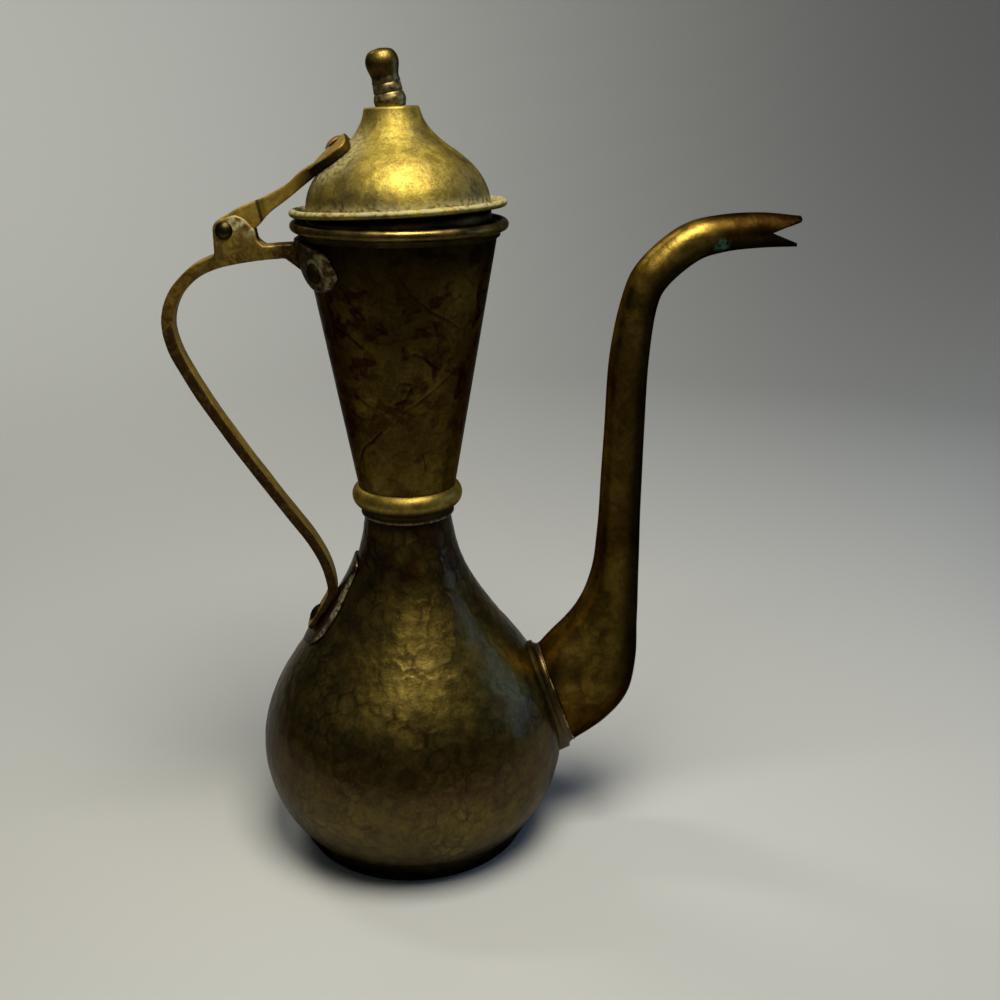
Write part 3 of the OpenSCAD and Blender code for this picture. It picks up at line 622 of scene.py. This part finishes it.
def spout_tarnish(p):
    """Brown film on the tube, thicker on the beak and low on the root, none on the bend."""
    tube = step(p.z, *tube_rise) * step(p.z, *tube_fade)
    beak = step(p.x, *beak_rise)
    low = step(p.z, *root_fade)
    return max(0.45 * tube, 1.4 * beak, low) * (0.8 + 0.4 * noise.noise(p / 8))


mark(spout, "wear_and_sheen", spout_highlight_and_wear)
mark(spout, "tarnish_and_shade", spout_tarnish)
mark(spout, "verdigris", lambda p: step((p - green_spot).length, *green_reach))
# Painted shade: the lower jaw, the side turned away from the lamp, the heel of the root and the beak's top
# are painted dark.
spout_far = Vector((0.8, 0, -0.6))
grime_and_shade_layer = spout.verts.layers.float.new("grime_and_shade")
for v in spout.verts:
    spot = v.co / MM
    jaw = 0.85 * step(spot.x, *jaw_rise) * step(spot.z, *jaw_fade)
    far_side = 0.88 * step(v.normal.dot(spout_far), -0.25, 0.45) * step(spot.z, *far_rise)
    heel = 0.45 * step(spot.z, *heel_fade)
    beak_top = 0.5 * step(spot.x, *beak_top_rise)
    v[grime_and_shade_layer] = max(jaw, far_side, heel, beak_top)
spout_brass = aged_brass("spout_brass", (0.27, 0.182, 0.034), (0.125, 0.074, 0.010),
                         (0.062, 0.027, 0.004), 0.30, edge=0.2)
spout_tube = piece("spout_tube", spout, vessel_body, ["spout"], spout_brass)
wall = spout_tube.modifiers.new("wall", "SOLIDIFY")
wall.thickness = spout_wall * MM
wall.offset = -1

# Socket: the flared seat that carries the spout's root to the bulb, brazed along both edges.
# A pale line of solder runs round the joint.
socket_fillet = 2.6
socket_depth = 8
solder_r = 0.35
fillet_turn = 80
fillet_steps = 8
root_place = section_place(spout_sections[0])
fillet = [Vector((socket_fillet * (1 - math.cos(turn)), socket_fillet * math.sin(turn)))
          for turn in (math.radians(fillet_turn * i / fillet_steps) for i in range(fillet_steps + 1))]
fillet.append(Vector((socket_fillet, socket_depth)))
socket_places = [root_place @ Matrix.Translation((0, 0, -back))
                 @ Matrix.Diagonal((1 + out / root_half_h, 1 + out / root_half_w, 1, 1))
                 for out, back in fillet]
socket = tube_through(socket_places, 96)
socket.verts.layers.float.new("oxide")
mark(socket, "tarnish_and_shade", lambda p: 0.4)
mark(socket, "grime_and_shade", lambda p: 0.1)
bead_place = Matrix.Translation((root_half_h * MM, 0, 0)) @ Matrix.Rotation(math.pi / 2, 4, "X")
bead = bmesh.ops.create_circle(socket, segments=10, radius=solder_r * MM, matrix=bead_place)
bead_edges = list({e for v in bead["verts"] for e in v.link_edges})
before_spin = set(socket.verts) - set(bead["verts"])
bmesh.ops.spin(socket, geom=bead["verts"] + bead_edges, cent=(0, 0, 0), axis=(0, 0, 1), angle=math.tau,
               steps=128, use_merge=True)
bead_verts = [v for v in socket.verts if v not in before_spin]
oval = Matrix.Diagonal((1, root_half_w / root_half_h, 1, 1))
upright = root_place @ Matrix.Diagonal((1 / (root_half_h * MM), 1 / (root_half_w * MM), 1 / MM, 1)) @ oval
bmesh.ops.transform(socket, matrix=upright, verts=bead_verts)
oxide_layer = socket.verts.layers.float["oxide"]
for v in bead_verts:
    v[oxide_layer] = 0.75 * step(noise.noise(v.co / (7 * MM)), -0.25, 0.2)
bmesh.ops.recalc_face_normals(socket, faces=socket.faces)
piece("spout_seat", socket, vessel_body, ["spout_socket"], bulb_brass)

# Handle: one cast bar that leaves the neck in a riveted fork, carries the hinge's two ears,
# loops down and lies on the bulb with a thin palm; its hard edges are worn soft.
handle_voxel = 0.4
handle_passes = 7
swell_w = 9
swell_depth = 0.12


def cast_copy(node, voxel, passes):
    """A copy of a solid, taken up in even small facets and worn soft at its edges."""
    source = frame["nodes"][node].data.copy()
    bm = bmesh.new()
    bm.from_mesh(source)
    bmesh.ops.remove_doubles(bm, verts=bm.verts, dist=1e-6)
    bm.to_mesh(source)
    bm.free()
    block = bpy.data.objects.new("block", source)
    bpy.context.scene.collection.objects.link(block)
    evener = block.modifiers.new("even", "REMESH")
    evener.mode = "VOXEL"
    evener.voxel_size = voxel * MM
    even = bpy.data.meshes.new_from_object(block.evaluated_get(bpy.context.evaluated_depsgraph_get()))
    bpy.data.objects.remove(block)
    bm = bmesh.new()
    bm.from_mesh(even)
    bpy.data.meshes.remove(even)
    bpy.data.meshes.remove(source)
    hard = [v.co.copy() for v in bm.verts]
    for _ in range(passes):
        bmesh.ops.smooth_vert(bm, verts=bm.verts, factor=0.5,
                              use_axis_x=True, use_axis_y=True, use_axis_z=True)
    bm.normal_update()
    layer = bm.verts.layers.float.new("wear_and_sheen")
    for v, was in zip(bm.verts, hard):
        v[layer] = 0.9 * step((was - v.co).dot(v.normal) / MM, 0.06, 0.3)
    return bm


def dent(bm, width, depth):
    """Uneven casting skin: shallow swells and hollows."""
    for v in bm.verts:
        v.co += v.normal * depth * MM * noise.noise(v.co / (width * MM))


handle = cast_copy("handle", handle_voxel, handle_passes)
dent(handle, swell_w, swell_depth)
fork_rivet = (34.5, 229.25)
pin = Vector(frame["record"]["behaviour"]["joints"][0]["pos_m"]) / MM
neck_lean = math.atan((neck_top_r - neck_low_r) / (neck_high - neck_low))


def on_neck(side, off):
    """Place on the fork, its Z axis along a rivet, off the neck's wall."""
    angle, z = fork_rivet
    return (Matrix.Rotation(math.radians(180 + side * angle), 4, "Z")
            @ Matrix.Translation((neck_r(z) * MM, 0, z * MM))
            @ Matrix.Rotation(math.pi / 2 + neck_lean, 4, "Y") @ Matrix.Translation((0, 0, off * MM)))


rivet_spots = [on_neck(side, 0).translation / MM for side in (-1, 1)]
# Where the handle's marks rise and fade: places across, heights, and distances from a rivet
crescent_rise = (3.3, 3.9)
crescent_fade = (6.0, 5.0)
edge_height = (228, 233)
edge_across = (-72, -64)
ear_height = (pin.z - 4, pin.z + 1)
ear_across = (-64, -58)
neck_across = (-31, -28)
neck_height = (212, 220)
fork_across = (-48, -42)
fork_height = (205, 215)
bar_fade = (228, 196)
side_turn = (0.3, 0.75)


def fork_crust(p, worn):
    """Chalky deposit on the fork's and ears' upper edges, by the neck and in a crescent over each rivet."""
    reach = min((p - spot for spot in rivet_spots), key=lambda way: way.length)
    round_rivet = step(reach.length, *crescent_fade) * step(reach.length, *crescent_rise)
    crescent = round_rivet * step(0.6 * reach.x + reach.z, -2, 1)
    ragged = step(noise.noise(p / 2.2), -0.3, 0.2)
    upper_edge = worn * step(p.z, *edge_height) * step(p.x, *edge_across)
    ear_face = step(p.z, *ear_height) * step(p.x, *ear_across)
    ear_face *= step(noise.noise(p / 2.8), -0.15, 0.3)
    neck_side = 0.5 * step(p.x, *neck_across) * step(p.z, *neck_height) * ragged
    return max(crescent, upper_edge * ragged, ear_face, neck_side)


oxide_layer = handle.verts.layers.float.new("oxide")
tarnish_and_shade_layer = handle.verts.layers.float.new("tarnish_and_shade")
grime_and_shade_layer = handle.verts.layers.float.new("grime_and_shade")
worn_layer = handle.verts.layers.float["wear_and_sheen"]
# Painted shade: the bar's side faces are painted darker, most of all on the loop; the fork by the neck is
# darker too.
for v in handle.verts:
    spot = v.co / MM
    on_fork = step(spot.x, *fork_across) * step(spot.z, *fork_height)
    on_bar = step(spot.z, *bar_fade)
    v[oxide_layer] = fork_crust(spot, v[worn_layer])
    flank = step(abs(v.normal.y), *side_turn)
    v[tarnish_and_shade_layer] = max(0.35, 0.75 * flank, 1.2 * on_fork, 1.7 * on_bar * flank)
    v[grime_and_shade_layer] = max(0.6 * on_fork, 0.62 * on_bar * flank, 0.28 * flank)
handle_brass = aged_brass("handle_brass", (0.50, 0.36, 0.072), (0.37, 0.235, 0.028),
                          (0.105, 0.048, 0.011), 0.40, metal=0.7, stains=330)
piece("handle_casting", handle, vessel_body, ["handle"], handle_brass)

# Patch: a leaf of thin brass soldered to the bulb under the handle's palm, to spread its pull.
# Pale solder and polish have dried along its edge.
patch_half_w = 13.2
patch_tip_share = 0.62
patch_voxel = 0.35
patch_passes = 3
patch = cast_copy("handle_patch", patch_voxel, patch_passes)
patch_low, patch_high = (corner.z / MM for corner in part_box("handle_patch"))


def patch_edge(p):
    """Pale band along the leaf's edge, from how far round the bulb the point lies."""
    widening = step(p.z, patch_high - 10.6, patch_low + 8)
    half_w = patch_half_w * (patch_tip_share + (1 - patch_tip_share) * widening)
    return 0.6 * step(abs(p.y), half_w - 3.0, half_w - 0.8) * step(noise.noise(p / 5), -0.4, 0.2)


mark(patch, "oxide", patch_edge)
mark(patch, "tarnish_and_shade", lambda p: 0.4)
piece("patch_leaf", patch, vessel_body, ["handle_patch"], bulb_brass)

# Rivets and hinge pin: hammered brass heads that hold the fork and the palm, and the pin of the hinge.
# They are dark all over, and those of the fork are painted darker still.
rivet_r = 2
rivet_head_r = 3.6
rivet_steps = 48
fork_head_h = 2
fork_shank = 3.4
fork_head_off = 3.2
palm_head_h = 1.3
palm_shank = 3.6
palm_head_off = 3.7
pin_r = 2
pin_head_r = 3.05
pin_head_h = 1.6
pin_shank = 5
pin_seat = 5


def head_outline(radius, height, shank_r, shank):
    """A domed head on its shank, from the shank's end to the crown."""
    ball = (radius * radius + height * height) / (2 * height)
    reach = math.degrees(math.asin(radius / ball))
    crown = arc(Vector((0, height - ball)), ball, 90 - reach, 90, 14)
    return [(0, -shank), (shank_r, -shank), (shank_r, -0.1), (radius - 0.15, -0.1),
            *crown[:-1], (0, height)]


def outward(outline, z):
    """Point of an outline at a height, and how far its wall leans back there."""
    a, b = next(pair for pair in zip(outline, outline[1:]) if pair[0].y <= z < pair[1].y)
    slope = (b.x - a.x) / (b.y - a.y)
    return Vector((a.x + slope * (z - a.y), z)), math.atan(-slope)


def on_wall(outline, z, off):
    """Place on the handle's side of a spun wall, its Z axis square to the wall, off it by a distance."""
    point, lean = outward(outline, z)
    return (Matrix.Translation((-point.x * MM, 0, point.y * MM))
            @ Matrix.Rotation(lean - math.pi / 2, 4, "Y") @ Matrix.Translation((0, 0, off * MM)))


def join(parts):
    """One mesh of several."""
    whole = bmesh.new()
    for part in parts:
        mesh = bpy.data.meshes.new("part")
        part.to_mesh(mesh)
        part.free()
        whole.from_mesh(mesh)
        bpy.data.meshes.remove(mesh)
    whole.normal_update()
    return whole


palm_z = shoulder.y + 2.1
rivet_brass = aged_brass("rivet_brass", (0.075, 0.055, 0.020), (0.026, 0.019, 0.008),
                         (0.020, 0.012, 0.006), 0.34)
fork_head = head_outline(rivet_head_r, fork_head_h, rivet_r, fork_shank)
neck_heads = join([spun(fork_head, rivet_steps, on_neck(side, fork_head_off)) for side in (-1, 1)])
mark(neck_heads, "grime_and_shade", lambda p: 0.65)
piece("fork_rivets", neck_heads, vessel_body, ["neck_rivets"], rivet_brass)
low_head = spun(head_outline(rivet_head_r, palm_head_h, rivet_r, palm_shank), rivet_steps,
                on_wall(bulb_skin, palm_z, palm_head_off))
piece("palm_rivet", low_head, vessel_body, ["lower_rivet"], rivet_brass)
pin_heads = []
for side in (-1, 1):
    along = (Matrix.Translation((pin.x * MM, side * pin_seat * MM, pin.z * MM))
             @ Matrix.Rotation(-side * math.pi / 2, 4, "X"))
    pin_heads.append(spun(head_outline(pin_head_r, pin_head_h, pin_r, pin_shank), rivet_steps, along))
pin_mesh = join(pin_heads)
mark(pin_mesh, "tarnish_and_shade", lambda p: 0.8)
piece("hinge_pin_heads", pin_mesh, vessel_body, ["hinge_pin"], rivet_brass)

# Lid flange: a flat brim of brass with a rolled edge, soldered under the dome; it rests on the rim.
# Polish has dried to a pale crust in the corner under the dome.
lid_z = rim_mid.y + rim_bead
flange_inset = 0.3
flange_ledge = 5.8
flange_r = rim_r - flange_inset
flange_bead = 1.3
flange_t = 1.2
sleeve_drop = 5.5
sleeve_play = 0.8
sleeve_low = lid_z - sleeve_drop
sleeve_r = neck_r(sleeve_low) - sheet - sleeve_play
dome_z = lid_z + flange_t
dome_h = 33.6
dome_r = flange_r - flange_ledge
turn_share = Vector((0.63, 0.565))
turn = Vector((dome_r * turn_share.x, dome_z + dome_h * turn_share.y))
lid_ajar = 2.5
lid_twist = 1.6
hinge_place = Matrix.Translation(pin * MM)
twist_place = Matrix.Translation((0, 0, turn.y * MM))
lid_place = (hinge_place @ Matrix.Rotation(math.radians(-lid_ajar), 4, "Y") @ hinge_place.inverted()
             @ twist_place @ Matrix.Rotation(math.radians(-lid_twist), 4, "X") @ twist_place.inverted())
lid_back = lid_place.inverted()


def in_lid(p):
    """A point of the lid, in millimetres, as it stands on the shut lid."""
    return lid_back @ (p * MM) / MM


flange_mid = Vector((flange_r - flange_bead, lid_z + flange_bead))
flange_outline = [(sleeve_r - 1, lid_z), (flange_mid.x - 0.4, lid_z + 0.1),
                  *arc(flange_mid, flange_bead, -85, 150, 24), (flange_mid.x - 1.9, dome_z + 0.15),
                  (dome_r + 0.4, dome_z + 0.05), (sleeve_r - 1, dome_z)]
flange = spun(flange_outline, 224, lid_place)
# Painted highlight on the rolled edge's upper side, and painted shade under the edge.
mark(flange, "wear_and_sheen", lambda p: step(in_lid(p).z, lid_z + 0.4, lid_z + 1.6))
mark(flange, "oxide", lambda p: 0.85 * step(in_lid(p).z, dome_z - 0.2, dome_z + 0.6))
mark(flange, "grime_and_shade", lambda p: 0.8 * step(in_lid(p).z, lid_z + 0.7, lid_z + 0.2))
lid_brass = aged_brass("lid_brass", (0.34, 0.262, 0.050), (0.23, 0.176, 0.040), (0.115, 0.090, 0.038),
                       0.46, 0.9)
piece("lid_brim", flange, lid_body, ["lid_flange"], lid_brass)

# Lid dome: raised from one disc of brass to an onion-shaped crown with a flat top.
# It is the cleanest brass on the ewer, speckled with brown and with pale oxide low on its sides, and its two
# sides are painted darker as painted shade.
dome_top = Vector((9.6, dome_z + dome_h))


def dome_wall(rows):
    """Outer outline of the dome from its foot to its flat top."""
    foot = Vector((dome_r, dome_z))
    last = dome_top - Vector((0, 0.6))
    return [foot,
            *cubic(foot, foot + Vector((0, 8)), turn + Vector((6.8, -5)), turn, rows),
            *cubic(turn, turn + Vector((-5.44, 4)), dome_top + Vector((1.2, -6.6)), last, rows)]


lid_sheet = 1
dome_blow_spacing = 5
dome_blow_r = 4.2
dome_blow_depth = 0.035
dome_blow_line = 1.2
dome_skin = dome_wall(60)
dome_roof = dome_top.y - lid_sheet
dome_outline = [(0, dome_roof), (dome_top.x - lid_sheet, dome_roof),
                *[p for p in inside(dome_wall(12), lid_sheet) if p.y < dome_roof],
                *dome_skin, (dome_top.x - 0.5, dome_top.y), (0, dome_top.y)]
dome = spun(dome_outline, 320, lid_place)
dome_blows = [lid_place @ spot for spot in blows_over(dome_skin, dome_blow_spacing)]
beat(dome, dome_blows, dome_blow_r, dome_blow_depth, dome_blow_line)
palm_spot = lid_place @ (Vector((-20, -8, dome_z + 19)) * MM) / MM


def dome_dust(p):
    """Grey-green dust at the dome's foot, beside the strap's palm, and thinly over the dome's two sides."""
    foot = 0.8 * step(in_lid(p).z, dome_z + 5, dome_z + 0.3)
    beside_palm = 0.6 * step((Vector((p.x, -abs(p.y), p.z)) - palm_spot).length, 17, 8)
    sides = 0.22 * step(abs(p.x), 14, 30) * (0.6 + noise.noise(p / 9))
    return max(foot, beside_palm, sides)


mark(dome, "oxide", dome_dust)
# Painted reflection of a dark room: the dome's two sides are painted darker.
mark(dome, "tarnish_and_shade", lambda p: step(abs(p.x - 3), 9, 25) * (0.7 + 0.8 * noise.noise(p / 12)))
mark(dome, "wear_and_sheen", lambda p: 0.6 * step(in_lid(p).z, dome_z + 10, dome_z + 20))
piece("lid_crown", dome, lid_body, ["lid_dome"], lid_brass)

# Lid sleeve: a short ring of sheet under the brim that centres the lid in the mouth.
# It is out of sight while the lid is shut.
sleeve_outline = [(sleeve_r - lid_sheet, sleeve_low + 0.2), (sleeve_r - 0.8, sleeve_low),
                  (sleeve_r - 0.2, sleeve_low), (sleeve_r, sleeve_low + 0.3), (sleeve_r, lid_z),
                  (sleeve_r - lid_sheet, lid_z)]
piece("lid_plug", spun(sleeve_outline, 192, lid_place), lid_body, ["lid_sleeve"], rim_brass)

# Lid strap: a cast arm from the hinge's knuckle up to a spade-shaped palm that is riveted to the dome.
# Its upper edges are rubbed, and the palm's side faces and the strap's flanks are painted dark as painted
# shade.
strap_voxel = 0.32
strap_passes = 5
strap_swell_w = 7
strap_swell_depth = 0.1
strap_head_off = 3.4
strap_rivet_z = dome_z + 20.2
strap = cast_copy("lid_strap", strap_voxel, strap_passes)
dent(strap, strap_swell_w, strap_swell_depth)
strap_shoulder = pin.x + 12.8
palm_out = Vector((-0.6, 0, 0.8))
# Painted shade on the palm's side faces and on the strap's flanks.
grime_and_shade_layer = strap.verts.layers.float.new("grime_and_shade")
for v in strap.verts:
    spot = v.co / MM
    groove = step(abs(spot.x - strap_shoulder - 0.22 * (pin.z + 4 - spot.z)), 1.0, 0.4)
    palm_side = step(spot.x, pin.x + 20, pin.x + 30) * step(v.normal.dot(palm_out), 0.5, 0.15)
    flank = 0.32 * step(abs(v.normal.y), *side_turn)
    v[grime_and_shade_layer] = max(0.85 * groove, 0.9 * palm_side, flank)
piece("lid_arm", strap, lid_body, ["lid_strap"], handle_brass)
strap_rivet = spun(head_outline(rivet_head_r, palm_head_h, rivet_r, fork_shank), rivet_steps,
                   lid_place @ on_wall(dome_skin, strap_rivet_z, strap_head_off))
mark(strap_rivet, "tarnish_and_shade", lambda p: 0.5)
piece("arm_rivet", strap_rivet, lid_body, ["strap_rivet"], handle_brass)

# Finial: a turned knob with a foot bead, two grooved bands, a waist and a flattened ball.
# Its tang goes through the dome's flat top; a knock has bent it towards the handle.
finial_lean = 8.3
groove_heights = (4.6, 7.8)
knob = [Vector(p) for p in ((5.15, 0.2), (5.6, 2.2), (5.1, 4.3))]
ball = [Vector(p) for p in ((4.7, 9.2), (4.8, 10.4), (5.7, 14), (5.3, 16.5), (3.76, 18.35), (0, 19.2))]
finial_outline = [(0, -2.2), (2.4, -2.2), (2.4, -0.4), (5.0, -0.4), *smooth(knob, 6),
                  (4.65, groove_heights[0]), (5.05, 4.8), (4.98, 6.2), (4.9, 7.5),
                  (4.65, groove_heights[1]), (4.95, 8), *smooth(ball, 10)]
finial_place = (lid_place @ Matrix.Translation((0, 0, dome_top.y * MM))
                @ Matrix.Rotation(math.radians(-finial_lean), 4, "Y"))
finial = spun(finial_outline, 96, finial_place)
finial_back = finial_place.inverted()


def groove_dirt(p):
    """Dirt in the knob's two grooves."""
    up = (finial_back @ (p * MM)).z / MM
    return max(0.8 * step(abs(up - groove), 0.35, 0.1) for groove in groove_heights)


mark(finial, "grime_and_shade", groove_dirt)
mark(finial, "oxide", lambda p: 0.35 * step((finial_back @ (p * MM)).z / MM, 11, 8))
bronze = aged_brass("finial_bronze", (0.29, 0.21, 0.055), (0.155, 0.102, 0.028),
                    (0.070, 0.030, 0.012), 0.26)
piece("finial_knob", finial, lid_body, ["finial"], bronze)

# Floor: a broad sheet of pale paper that turns up into a backdrop far behind the ewer.
# It is painted darker to the front and far to the sides, as painted shade, so the bulb mirrors a dim room,
# and dimmer towards the back and right, a painted fall-off of light.
paper_pale = (0.56, 0.57, 0.56, 1)
paper_dim = (0.175, 0.18, 0.185, 1)
paper_unlit = (0.12, 0.12, 0.125, 1)
floor_drop = 0.05
floor_flat = 800
sweep_r = 500
sweep_top = 1100
front_reach = 5
floor_outline = [(0, -floor_drop), (60, -floor_drop), (300, -floor_drop),
                 *arc(Vector((floor_flat, sweep_r)), sweep_r, -90, 0, 24),
                 (floor_flat + sweep_r, sweep_top)]
floor_bm = spun(floor_outline, 128)
for v in floor_bm.verts:
    behind = step(v.co.y / max(v.co.xy.length, MM), -0.1, 0.5)
    rise = max(0, v.co.z) * (1 - behind)
    v.co.xy *= 1 + front_reach * rise / max(v.co.xy.length, MM)
    v.co.z -= rise
bmesh.ops.recalc_face_normals(floor_bm, faces=floor_bm.faces)
floor_mesh = bpy.data.meshes.new("floor")
floor_bm.to_mesh(floor_mesh)
floor_bm.free()
floor_mesh.shade_smooth()
paper = bpy.data.materials.new("pale_paper")
paper.use_nodes = True
paper.node_tree.nodes.clear()
spot = add(paper, "ShaderNodeSeparateXYZ", {0: add(paper, "ShaderNodeTexCoord").outputs["Object"]}).outputs
far_back = spread(paper, spot[1], 0.1, 1.2)
past_left = add(paper, "ShaderNodeMath", {0: far_back, 1: 0.35, 2: spot[0]}, operation="MULTIPLY_ADD")
past_right = add(paper, "ShaderNodeMath", {0: far_back, 1: -0.6, 2: spot[0]}, operation="MULTIPLY_ADD")
to_left = spread(paper, past_left.outputs[0], -0.24, -0.55)
to_right = spread(paper, past_right.outputs[0], 0.28, 0.7)
to_front = spread(paper, spot[1], -0.13, -0.34)
unlit = reckon(paper, "MAXIMUM", to_front, reckon(paper, "MAXIMUM", to_left, to_right))
dimmer = reckon(paper, "MULTIPLY", far_back, spread(paper, spot[0], -0.3, 1.0))
shade = tint(paper, dimmer, paper_pale, paper_dim)
shade = tint(paper, unlit, shade, paper_unlit)
paper_shader = add(paper, "ShaderNodeBsdfPrincipled", {"Base Color": shade, "Roughness": 0.8})
add(paper, "ShaderNodeOutputMaterial", {"Surface": paper_shader.outputs[0]})
floor_mesh.materials.append(paper)
floor = bpy.data.objects.new("floor", floor_mesh)
bpy.context.scene.collection.objects.link(floor)

# Lights: a warm soft one above the front, a weak blue one at the right, and one on the backdrop.


def softbox(name, place, target, size, power, colour):
    """A square soft light that looks at a point."""
    light = bpy.data.lights.new(name, "AREA")
    light.shape = "SQUARE"
    light.size = size
    light.energy = power
    light.color = colour
    lamp = bpy.data.objects.new(name, light)
    lamp.location = place
    lamp.rotation_euler = (Vector(target) - Vector(place)).to_track_quat("-Z", "Y").to_euler()
    bpy.context.scene.collection.objects.link(lamp)


softbox("warm_key", place=(0.055, -0.19, 0.66), target=(0.02, 0, 0.12), size=0.30, power=4.1,
        colour=(1.0, 0.95, 0.82))
softbox("blue_side", place=(0.95, 0.11, 0.33), target=(0.10, 0.05, 0.05), size=0.55, power=1.25,
        colour=(0.30, 0.52, 1.0))
softbox("backdrop_light", place=(-0.60, 0.60, 1.2), target=(-0.45, 1.3, 0.55), size=0.4, power=8.6,
        colour=(1.0, 0.98, 0.88))
world = bpy.data.worlds.new("room")
world.use_nodes = True
world.node_tree.nodes["Background"].inputs["Color"].default_value = (0.85, 0.90, 1.0, 1)
world.node_tree.nodes["Background"].inputs["Strength"].default_value = 0.06
bpy.context.scene.world = world
bpy.context.scene.view_settings.view_transform = "Standard"

# Camera: fitted to the outlines in the photograph, a little above the lid and looking down.
focal_px = 1199
frame_px = 1000
sensor = 36
camera_place = (0, -0.43268, 0.290035)
camera_pitch = 19.239
camera_yaw = 4.661
camera_roll = -0.112
camera = bpy.data.objects.new("camera", bpy.data.cameras.new("camera"))
camera.data.sensor_width = sensor
camera.data.lens = sensor * focal_px / frame_px
camera.matrix_world = (Matrix.Translation(camera_place)
                       @ Matrix.Rotation(math.radians(-camera_yaw), 4, "Z")
                       @ Matrix.Rotation(math.radians(90 - camera_pitch), 4, "X")
                       @ Matrix.Rotation(math.radians(camera_roll), 4, "Z"))
bpy.context.scene.collection.objects.link(camera)
bpy.context.scene.camera = camera
